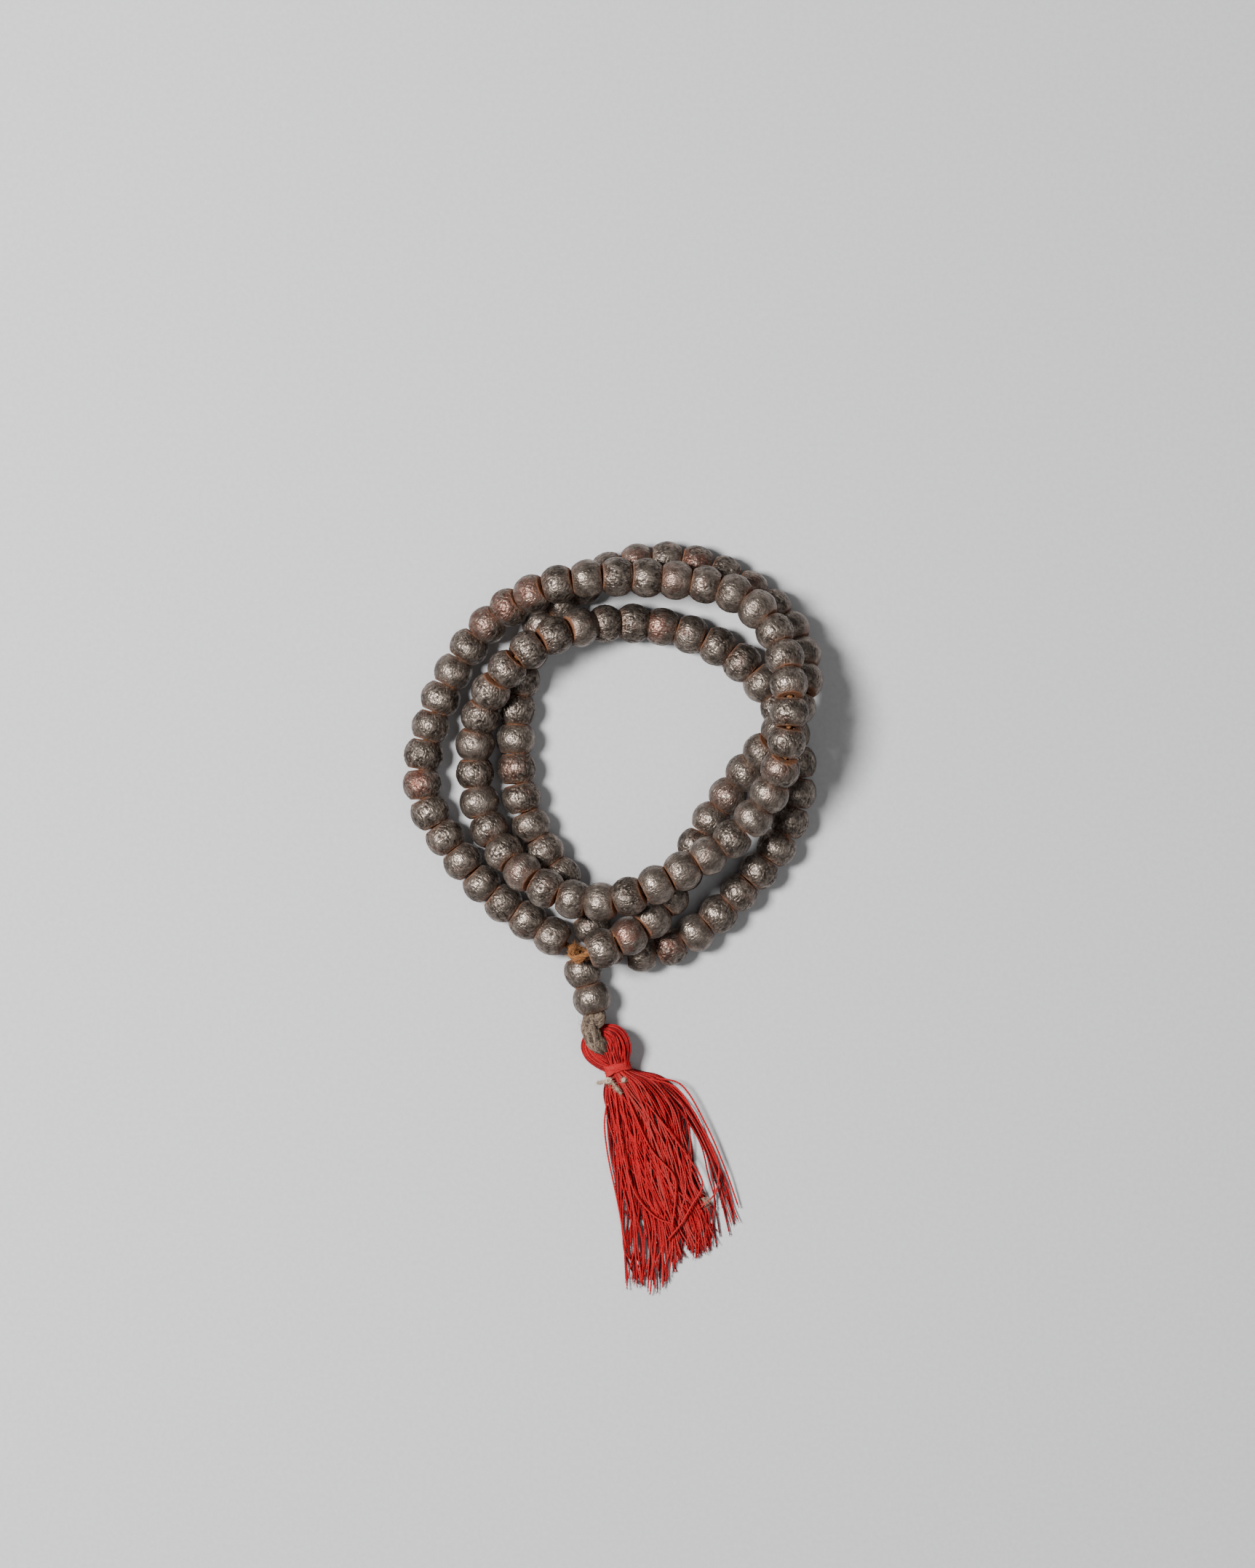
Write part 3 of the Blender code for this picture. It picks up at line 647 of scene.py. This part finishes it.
def noise_of(nodes, links, place_socket, scale, detail, stretch=(1.0, 1.0, 1.0)):
    """Cloudy noise over a place, closer together along an axis with a greater stretch."""
    mapping = nodes.new("ShaderNodeMapping")
    mapping.inputs["Scale"].default_value = stretch
    links.new(place_socket, mapping.inputs["Vector"])
    node = add_node(nodes, "ShaderNodeTexNoise", Scale=scale, Detail=detail)
    links.new(mapping.outputs["Vector"], node.inputs["Vector"])
    return node.outputs["Fac"]


def iron_material():
    """Dark timeworn iron: painted shade keeps its pits and creases dark and its high spots bright; rust at
    the bore.
    """
    material, nodes, links = new_material("worn_iron")
    shader = nodes["Principled BSDF"]
    spot = paint_of(nodes, "place", "Vector")
    # Painted shade: the colour darkens from the high spots down into the pits and creases, by the height of
    # the relief.
    high = ranged(nodes, links, paint_of(nodes, "height"), -0.18, 0.05, 0.0, 1.0)
    cloud = noise_of(nodes, links, spot, 0.55, 4.0)
    grain = noise_of(nodes, links, spot, 4.5, 5.0)
    scratch = noise_of(nodes, links, spot, 1.0, 6.0, (5.0, 5.0, 0.55))
    # tone carries that painted shade, broken by random clouds and scratches.
    tone = summed(nodes, links, high, ranged(nodes, links, cloud, 0.3, 0.7, 0.25, 1.0), "MULTIPLY")
    tone = summed(nodes, links, tone, ranged(nodes, links, scratch, 0.35, 0.65, 0.55, 1.1), "MULTIPLY")
    colour = mixed(nodes, links, tone, COLOURS["iron_dark"], COLOURS["iron_light"])
    spotted = ranged(nodes, links, grain, 0.38, 0.60, 0.10, 0.80)
    overlay = summed(nodes, links, paint_of(nodes, "patch"), spotted, "MULTIPLY")
    colour = mixed(nodes, links, overlay, colour, COLOURS["iron_patch"])
    broken = ranged(nodes, links, grain, 0.25, 0.6, 0.6, 1.0)
    rim = summed(nodes, links, paint_of(nodes, "rim"), broken, "MULTIPLY")
    colour = mixed(nodes, links, rim, colour, COLOURS["iron_rust"])
    links.new(colour, shader.inputs["Base Color"])
    links.new(ranged(nodes, links, rim, 0.1, 0.9, 0.80, 0.05), shader.inputs["Metallic"])
    polish = summed(nodes, links, ranged(nodes, links, grain, 0.3, 0.7, 0.20, 0.34),
                    ranged(nodes, links, high, 0.2, 1.0, 0.20, 0.0))
    polish = summed(nodes, links, polish, ranged(nodes, links, rim, 0.0, 1.0, 0.0, 0.35))
    links.new(polish, shader.inputs["Roughness"])
    dents = noise_of(nodes, links, spot, 2.6, 1.5)
    lines = noise_of(nodes, links, spot, 1.0, 2.0, (3.2, 3.2, 0.5))
    rough = summed(nodes, links, dents, ranged(nodes, links, lines, 0.0, 1.0, 0.0, 1.3))
    bump = add_node(nodes, "ShaderNodeBump", Strength=0.8, Distance=0.00012)
    links.new(rough, bump.inputs["Height"])
    links.new(bump.outputs["Normal"], shader.inputs["Normal"])
    return material


def fibre_material(name, deep, bright, overlay=None):
    """Twisted fibre: each strand has its own shade, with fine streaks.  The palest run into a painted
    highlight colour when one is given.
    """
    material, nodes, links = new_material(name)
    shader = nodes["Principled BSDF"]
    coordinates = nodes.new("ShaderNodeTexCoord").outputs["Object"]
    streak = noise_of(nodes, links, coordinates, 2600.0, 4.0)
    cloud = noise_of(nodes, links, coordinates, 260.0, 2.0)
    shade = paint_of(nodes, "shade")
    tone = summed(nodes, links, shade, ranged(nodes, links, streak, 0.3, 0.7, -0.28, 0.28))
    tone = summed(nodes, links, tone, ranged(nodes, links, cloud, 0.3, 0.7, -0.14, 0.14))
    colour = mixed(nodes, links, ranged(nodes, links, tone, 0.0, 1.0, 0.0, 1.0), deep, bright)
    if overlay:
        # Painted highlight: the palest shades turn into the highlight colour.
        highlighted = ranged(nodes, links, shade, 0.9, 1.25, 0.0, 0.85)
        colour = mixed(nodes, links, highlighted, colour, overlay)
    links.new(colour, shader.inputs["Base Color"])
    shader.inputs["Sheen Weight"].default_value = 0.02
    shader.inputs["Sheen Roughness"].default_value = 0.5
    links.new(ranged(nodes, links, streak, 0.3, 0.7, 0.73, 0.93), shader.inputs["Roughness"])
    shader.inputs["Specular IOR Level"].default_value = 0.2
    bump = add_node(nodes, "ShaderNodeBump", Strength=0.6, Distance=0.00006)
    links.new(streak, bump.inputs["Height"])
    links.new(bump.outputs["Normal"], shader.inputs["Normal"])
    return material


def floor_material():
    """Plain pale floor with a faint speckle."""
    material, nodes, links = new_material("floor")
    shader = nodes["Principled BSDF"]
    coordinates = nodes.new("ShaderNodeTexCoord").outputs["Object"]
    speck = noise_of(nodes, links, coordinates, 900.0, 3.0)
    pale = COLOURS["floor"]
    share = ranged(nodes, links, speck, 0.3, 0.7, 0.0, 1.0)
    darker, lighter = tuple(0.96 * part for part in pale), tuple(1.04 * part for part in pale)
    links.new(mixed(nodes, links, share, darker, lighter), shader.inputs["Base Color"])
    shader.inputs["Roughness"].default_value = 0.9
    return material


def build_beads(gaps, iron):
    """Beads of the string, each free one a piece and the joined ones in groups, and the guru beads."""
    beads = [placed_bead(number, gaps[number - 1], gaps[number], patch=PATCHES.get(number, 0.0))
             for number in range(1, BEAD_COUNT + 1)]
    for number in range(1, FREE_BEADS + 1):
        node = f"bead_{number:03d}"
        add_piece(f"iron_{node}", beads[number - 1], iron, node, "iron", node)
    for first in range(FREE_BEADS + 1, BEAD_COUNT + 1, BEADS_IN_PIECE):
        group = merge(beads[first - 1:first - 1 + BEADS_IN_PIECE])
        run = (first - FREE_BEADS - 1) // RUN_BEADS + 1
        add_piece(f"iron_beads_{first:03d}", group, iron, "strand", "iron", f"bead_run_{run}")
    mouths = [Vector(mouth) for mouth in GURU_MOUTHS]
    for number, (start, end) in enumerate(zip(mouths, mouths[1:]), start=1):
        node = f"guru_bead_{number}"
        bead = placed_bead(200 + number, start, end, GURU_BORE_RADIUS)
        add_piece(f"iron_{node}", bead, iron, node, "iron", node)


def build_string(gaps, material):
    """Two-ply string through all the beads and down into the knot."""
    up = np.array([0.0, 0.0, 1.0])
    route = [STRING_START] + [tuple(gap) for gap in gaps] + STRING_TAIL + [STRING_END]
    path = smooth_path(route, 0.35)
    shapes = twisted(path, STRING_PLY, STRING_SPREAD, 2, STRING_TWIST, up, 0.5, sides=6)
    add_piece("string", merge(shapes), material, "strand", "string", "stringing_cord")


def build_knot(material):
    """Frayed knot: short lengths of the string wound over each other, with loose fibres."""
    chance = np.random.default_rng(77)
    up = np.array([0.1, 0.2, 0.97])
    heart = np.array(KNOT)
    core = smooth_path([tuple(heart + np.array(step)) for step in KNOT_CORE], 0.25)
    shapes = twisted(core, 0.75, 0.35, 3, 4.0, up, 0.45, sides=8)
    for _ in range(KNOT_LOOPS):
        tilt = chance.uniform(0, math.pi)
        wide = chance.uniform(0.5, 1.5)
        points = []
        for step in range(9):
            turn = 2 * math.pi * step / 8 * 0.9
            round_it = np.array([math.cos(turn) * math.cos(tilt), math.cos(turn) * math.sin(tilt) * 0.8,
                                 math.sin(turn)])
            points.append(tuple(heart + round_it * wide + chance.normal(0, 0.22, 3)))
        path = smooth_path(points, 0.25)
        shapes += twisted(path, 0.27, 0.25, 3, 2.6, up, chance.uniform(0.1, 0.9))
        shapes += hairs(path, 45, 1.3, 0.6, up, 0.9, chance)
    ends = list(KNOT_ENDS)
    for _ in range(TAIL_STRANDS):
        sway = chance.normal(0, 0.35, 3)
        ends.append([tuple(np.array(point) + sway * share) for point, share in zip(TAIL_ROUTE, TAIL_SWAY)])
    for points in ends:
        path = smooth_path(points, 0.25)
        shapes += twisted(path, 0.24, 0.22, 3, 2.8, up, chance.uniform(0.2, 0.9))
        shapes += hairs(path, 45, 1.4, 0.6, up, 0.9, chance)
    add_piece("string_knot", merge(shapes), material, "strand", "string", "closing_knot")


def build_fray(gaps, material):
    """Worn stretch of string between the last two beads, with its plies spread and broken fibres."""
    chance = np.random.default_rng(41)
    up = np.array([0.0, 0.0, 1.0])
    before, heart, after = [np.array(gaps[at]) for at in (-3, -2, -1)]
    along = (after - before) / np.linalg.norm(after - before)
    shapes = []
    for _ in range(FRAY_STRANDS):
        bulge = np.array(FRAY_SIDE) * chance.uniform(0.2, 1.5) + chance.normal(0, 0.4, 3)
        points = [tuple(heart + along * reach + bulge * (1 - (reach / FRAY_REACHES[-1]) ** 2))
                  for reach in FRAY_REACHES]
        path = smooth_path(points, 0.2)
        shapes += twisted(path, 0.2, 0.18, 2, 2.2, up, chance.uniform(0.1, 0.9))
        shapes += hairs(path, 26, 1.4, 0.5, up, 0.9, chance)
    add_piece("string_fray", merge(shapes), material, "strand", "string")


def build_link(material):
    """Fibre cord that comes out of the guru beads and makes the loop that holds the tassel."""
    chance = np.random.default_rng(31)
    reference = np.array([0.55, 0.25, 0.1])
    shapes = []
    for strand in LINK_STRANDS:
        path = smooth_path(strand, LINK_SPACING)
        spine, radius = path[:, :3], path[:, 3]
        for plies, spread, size in LINK_LAYERS:
            for ply in range(plies):
                shade = chance.uniform(0.1, 0.5)
                shapes += twisted(spine, radius * size, radius * spread, 1, LINK_TWIST, reference, shade,
                                  sides=9, start=2 * math.pi * ply / plies)
        side, over = directions(spine, reference)
        reach = np.arange(len(spine)) * LINK_SPACING
        for _ in range(LINK_WISPS):
            begin = chance.uniform(0, 2 * math.pi)
            turn = begin + 2 * math.pi * reach / (LINK_TWIST * chance.uniform(0.6, 1.6))
            turn = turn + 0.3 * np.sin(reach * chance.uniform(0.8, 2.6) + chance.uniform(0, 6))
            bulge = radius * (0.86 + 0.12 * np.abs(np.cos(3.5 * turn)) + 0.06 * np.sin(reach * 1.9 + turn))
            wisp = spine + bulge[:, None] * (side * np.cos(turn)[:, None] + over * np.sin(turn)[:, None])
            start = chance.integers(0, len(spine) // 2)
            wisp = wisp[start:start + chance.integers(len(spine) // 4, len(spine))]
            shapes.append(tube(wisp, 0.075, 3, reference, chance.uniform(0.0, 1.2)))
        shapes += hairs(spine, 130, 1.5, 1.7, reference, 0.8, chance)
    add_piece("fibre_cord", merge(shapes), material, "strand", "link", "link_cord")


def build_loop(material):
    """Skein of threads that makes the tassel's loop, which bends where it enters the binding."""
    chance = np.random.default_rng(12)
    up = np.array([0.0, 0.0, 1.0])
    band = smooth_path(LOOP_BAND, 0.3)
    spine, width, depth = band[:, :3], band[:, 3], band[:, 4]
    flat, rise = directions(spine, up)
    roll = np.radians(band[:, 5:])
    side = flat * np.cos(roll) - rise * np.sin(roll)
    lift = flat * np.sin(roll) + rise * np.cos(roll)
    share = np.linspace(0, 1, len(spine))
    shapes = []
    for thread in range(LOOP_THREADS):
        reach = math.sqrt((thread + 0.5) / LOOP_THREADS) * 0.93
        turn = GOLDEN_TURN * thread + 0.9 * share + 0.25 * np.sin(share * 9 + chance.uniform(0, 6))
        across, over = reach * np.cos(turn), reach * np.sin(turn)
        path = spine + side * (across * width)[:, None] + lift * (over * depth)[:, None]
        # Painted light: threads on the upper side of the loop are painted lighter, and the palest run into
        # the highlight colour.
        shade = chance.uniform(-0.1, 0.85) + 0.35 * (over[:len(over) // 2].mean() > 0.1)
        shapes += twisted(path, THREAD_PLY, THREAD_PLY * THREAD_SPREAD, 2, THREAD_TWIST, up, shade, sides=4,
                          start=chance.uniform(0, 6))
        shapes += hairs(path, 6, 1.2, 0.3, up, 0.9, chance)
    loop = add_piece("loop_threads", merge(shapes), material, None, "cotton", "tassel_head_loop")
    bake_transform(loop)


def build_wraps(material):
    """Binding: turns of thread wound askew round the neck, first one way and then the other."""
    chance = np.random.default_rng(5)
    shapes = []
    for lean, turns, spread in WINDINGS:
        points = []
        for step in range(turns * WRAP_STEPS + 1):
            turn = 2 * math.pi * step / WRAP_STEPS
            share = step / (turns * WRAP_STEPS)
            reach = spread * (2 * share - 1) + lean * math.cos(turn) + chance.normal(0, 0.05)
            radius = WRAP_RADIUS - 0.15 + 0.2 * share + chance.uniform(-0.05, 0.05)
            spot = (WRAP_MIDDLE + NECK_ALONG * reach + NECK_ACROSS * (radius * math.cos(turn))
                    + Vector((0, 0, 1)) * (0.85 * radius * math.sin(turn)))
            points.append(tuple(spot))
        path = smooth_path(points, 0.25)
        # The binding's threads are painted pale, partly in the highlight colour: painted highlight.
        shapes += twisted(path, THREAD_PLY * 1.2, THREAD_PLY * 0.8, 2, THREAD_TWIST, np.array(NECK_ALONG),
                          chance.uniform(0.9, 1.2), start=chance.uniform(0, 6))
        shapes += hairs(path, 50, 1.2, 0.3, np.array(NECK_ALONG), 0.8, chance)
    add_piece("binding_threads", merge(shapes), material, "tassel", "cotton", "tassel_binding")


def tip_of(share):
    """Where a thread ends that lies this far across the skirt."""
    marks = [mark[0] for mark in SKIRT_TIPS]
    return (np.interp(share, marks, [mark[1] for mark in SKIRT_TIPS]),
            np.interp(share, marks, [mark[2] for mark in SKIRT_TIPS]))


def skirt_path(across, level, drift, side_group, chance):
    """Points of one thread, from inside the binding down the skirt to its tip."""
    points = []
    for reach in (-1.2, 0.4):
        spot = WRAP_MIDDLE + NECK_ALONG * reach + NECK_ACROSS * (2 * across - 1) * 2.1
        rise = (2 * level - 1) * 2.0 * math.sqrt(max(0.0, 1 - (2 * across - 1) ** 2))
        points.append((spot.x, spot.y, WRAP_MIDDLE.z + rise))
    bow, phase = chance.normal(0, 0.055), chance.uniform(0, 6)
    for station, (left, right, pile) in enumerate(SKIRT_EDGES):
        sway = bow * math.sin(station * 1.3 + phase) * station / 3
        own = min(max(across + drift * smoothstep(0.5, 5, station) + sway, 0.0), 1.0)
        share = 1 - (1 - own) * SIDE_REACH[station] if side_group else own * MAIN_REACH[station]
        crown = 1 - 0.7 * (2 * share - 1) ** 2
        x = left[0] + (right[0] - left[0]) * share + chance.normal(0, 0.15)
        y = left[1] + (right[1] - left[1]) * share
        points.append((x, y, 0.32 + level * (pile - 0.5) * crown))
    own = min(max(across + drift + chance.normal(0, 0.03), 0.0), 1.0)
    x, y = tip_of(1 - (1 - own) * SIDE_REACH[-1] if side_group else own * MAIN_REACH[-1])
    before = points[-1]
    stretch = min(max(1 + chance.normal(-0.10, 0.26), 0.2), 1.12)
    points.append((before[0] + (x - before[0]) * stretch, before[1] + (y - before[1]) * stretch,
                   0.34 + level * 1.1))
    return points


def frayed_end(path, shade, chance):
    """A few fine fibres that spread from the end of a thread."""
    end, along = path[-1], path[-1] - path[-4]
    along /= np.linalg.norm(along) + 1e-9
    shapes = []
    for _ in range(7):
        spread = along + chance.normal(0, 0.22, 3)
        strand = np.array([end - along * 0.5, end + spread * 0.25, end + spread * chance.uniform(0.5, 1.0)])
        strand[:, 2] = np.maximum(strand[:, 2], 0.06)
        shapes.append(tube(strand, 0.06, 3, np.array([0.0, 0.0, 1.0]), shade))
    return shapes


def build_skirt(material):
    """Threads of the skirt, dealt out among a few pieces, and the stray ones over them."""
    chance = np.random.default_rng(8)
    up = np.array([0.0, 0.0, 1.0])
    groups = [[] for _ in range(SKIRT_PIECES)]
    for thread in range(THREADS + SIDE_THREADS):
        side_group = thread >= THREADS
        level = (thread * GOLDEN_SHARE) % 1.0
        if side_group:
            across, drift = (thread - THREADS + 0.5) / SIDE_THREADS, chance.normal(0, 0.12)
        else:
            low, high, drift = FALLS[thread % len(FALLS)]
            across = low + (high - low) * (thread + 0.5) / THREADS
            level = min(1.0, level + 0.8 * abs(drift))
        across = min(max(across + chance.normal(0, 0.03), 0.0), 1.0)
        path = smooth_path(skirt_path(across, level, drift, side_group, chance), 0.24)
        if chance.uniform(0, 1) < SHORT_SHARE:
            path = path[:int(len(path) * chance.uniform(0.72, 0.95))]
        wave = chance.uniform(0.08, 0.42) * np.linspace(0, 1, len(path))
        path[:, 0] += wave * np.sin(np.linspace(0, chance.uniform(6, 20), len(path)) + chance.uniform(0, 6))
        # Painted shade and light: threads lower in the pile are painted darker and higher ones lighter.
        # About half of the high threads past 0.35 of the way across are painted paler still, into the
        # highlight colour.
        shade = -0.15 + 0.6 * level + chance.uniform(0, 0.6)
        shade += 0.4 * (level > 0.6 and across > 0.35 and chance.uniform(0, 1) < 0.5)
        shapes = twisted(path, THREAD_PLY, THREAD_PLY * THREAD_SPREAD, 2, THREAD_TWIST, up, shade, sides=4,
                         start=chance.uniform(0, 6))
        shapes += frayed_end(path, shade + 0.1, chance) + hairs(path, 5, 1.1, 0.3, up, 0.85, chance)
        groups[thread % len(groups)] += shapes
    for number, shapes in enumerate(groups, start=1):
        add_piece(f"skirt_threads_{number}", merge(shapes), material, "tassel", "cotton", "tassel_skirt")
    shapes = []
    for points in STRAYS:
        path = smooth_path(points, 0.24)
        # The stray threads on top of the skirt are painted pale, with a little of the highlight colour:
        # painted highlight.
        shapes += twisted(path, THREAD_PLY * 1.2, THREAD_PLY * 0.45, 2, THREAD_TWIST, up, 0.95)
        shapes += frayed_end(path, 0.9, chance) + hairs(path, 16, 1.2, 0.3, up, 0.9, chance)
    add_piece("stray_threads", merge(shapes), material, "tassel", "cotton", "tassel_skirt")


def build_tie(material):
    """Uneven off-white thread with two small knots in it, and the tuft of fluff."""
    chance = np.random.default_rng(3)
    up = np.array([0.0, 0.3, 0.95])
    path = smooth_path(TIE_PATH, 0.2)
    swell = 0.20 + 0.10 * np.exp(-((np.linspace(0, 1, len(path)) - 0.38) / 0.12) ** 2)
    swell += 0.07 * np.sin(np.linspace(0, 17, len(path))) + 0.05 * np.sin(np.linspace(1, 41, len(path)))
    shapes = twisted(path, swell * 0.8, swell, 4, 1.9, up, 0.45)
    shapes += hairs(path, 260, 0.8, 0.45, up, 0.8, chance)
    for heart, size in TIE_COILS:
        for _ in range(4):
            axis = chance.normal(0, 1, 3)
            points = [tuple(np.array(heart) + size * np.array([math.cos(turn + axis[0]),
                            math.sin(turn + axis[1]), 0.8 * math.sin(turn + axis[2])]))
                      for turn in np.linspace(0, 6.0, 8)]
            coil = smooth_path(points, 0.15)
            shapes += twisted(coil, 0.15, 0.13, 2, 1.3, up, chance.uniform(0.5, 0.9))
            shapes += hairs(coil, 16, 0.8, 0.3, up, 0.9, chance)
    add_piece("tie_threads", merge(shapes), material, "tassel", "tie", "tie_thread")
    fluff = []
    for _ in range(FLUFF_FIBRES):
        steps = chance.normal(0, 0.36, (5, 3)) * (1, 1, 0.4)
        points = np.array(FLUFF_MIDDLE) + np.cumsum(steps, axis=0)
        fluff.append(tube(smooth_path(points, 0.2), HAIR_RADIUS, 3, up, chance.uniform(0.6, 1.0)))
    add_piece("fluff", merge(fluff), material, "tassel", "tie")


def build_stage():
    """Pale floor, a small key lamp at the upper left, a wide fill lamp and a dim even studio."""
    floor = bpy.data.objects.new("floor", bpy.data.meshes.new("floor"))
    corners = [(side * FLOOR_REACH, depth * FLOOR_REACH, 0)
               for side, depth in ((-1, -1), (1, -1), (1, 1), (-1, 1))]
    floor.data.from_pydata(corners, [], [(0, 1, 2, 3)])
    floor.data.materials.append(floor_material())
    bpy.context.scene.collection.objects.link(floor)
    for name, spot, size, power in LAMPS:
        light = bpy.data.lights.new(name, "AREA")
        light.energy = power
        light.size = size
        lamp = bpy.data.objects.new(name, light)
        lamp.location = spot
        lamp.rotation_euler = (-Vector(spot)).to_track_quat("-Z", "Y").to_euler()
        bpy.context.scene.collection.objects.link(lamp)
    world = bpy.data.worlds.new("studio")
    world.use_nodes = True
    background = world.node_tree.nodes["Background"]
    background.inputs["Color"].default_value = STUDIO_COLOUR
    background.inputs["Strength"].default_value = STUDIO_STRENGTH
    bpy.context.scene.world = world


def build_camera():
    """Straight down over the table, with +Y up the picture."""
    camera = bpy.data.cameras.new("camera")
    camera.sensor_fit = "VERTICAL"
    camera.sensor_height = 24.0
    camera.lens = camera.sensor_height * (CAMERA_SPOT[2] - SEEN_LEVEL) / SEEN_LENGTH
    camera.clip_end = 20.0
    thing = bpy.data.objects.new("camera", camera)
    thing.location = CAMERA_SPOT
    bpy.context.scene.collection.objects.link(thing)
    bpy.context.scene.camera = thing


build_camera()
build_stage()
gaps = lay_string()
iron = iron_material()
cotton = fibre_material("red_cotton", COLOURS["red_deep"], COLOURS["red_bright"], COLOURS["red_highlight"])
string = fibre_material("string_fibre", COLOURS["string_deep"], COLOURS["string_bright"])
fibre = fibre_material("grey_fibre", COLOURS["fibre_deep"], COLOURS["fibre_bright"])
tie = fibre_material("white_cotton", COLOURS["tie_deep"], COLOURS["tie_bright"])
build_string(gaps, string)
build_knot(string)
build_fray(gaps, string)
build_link(fibre)
build_beads(gaps, iron)
build_loop(cotton)
build_wraps(cotton)
build_skirt(cotton)
build_tie(tie)
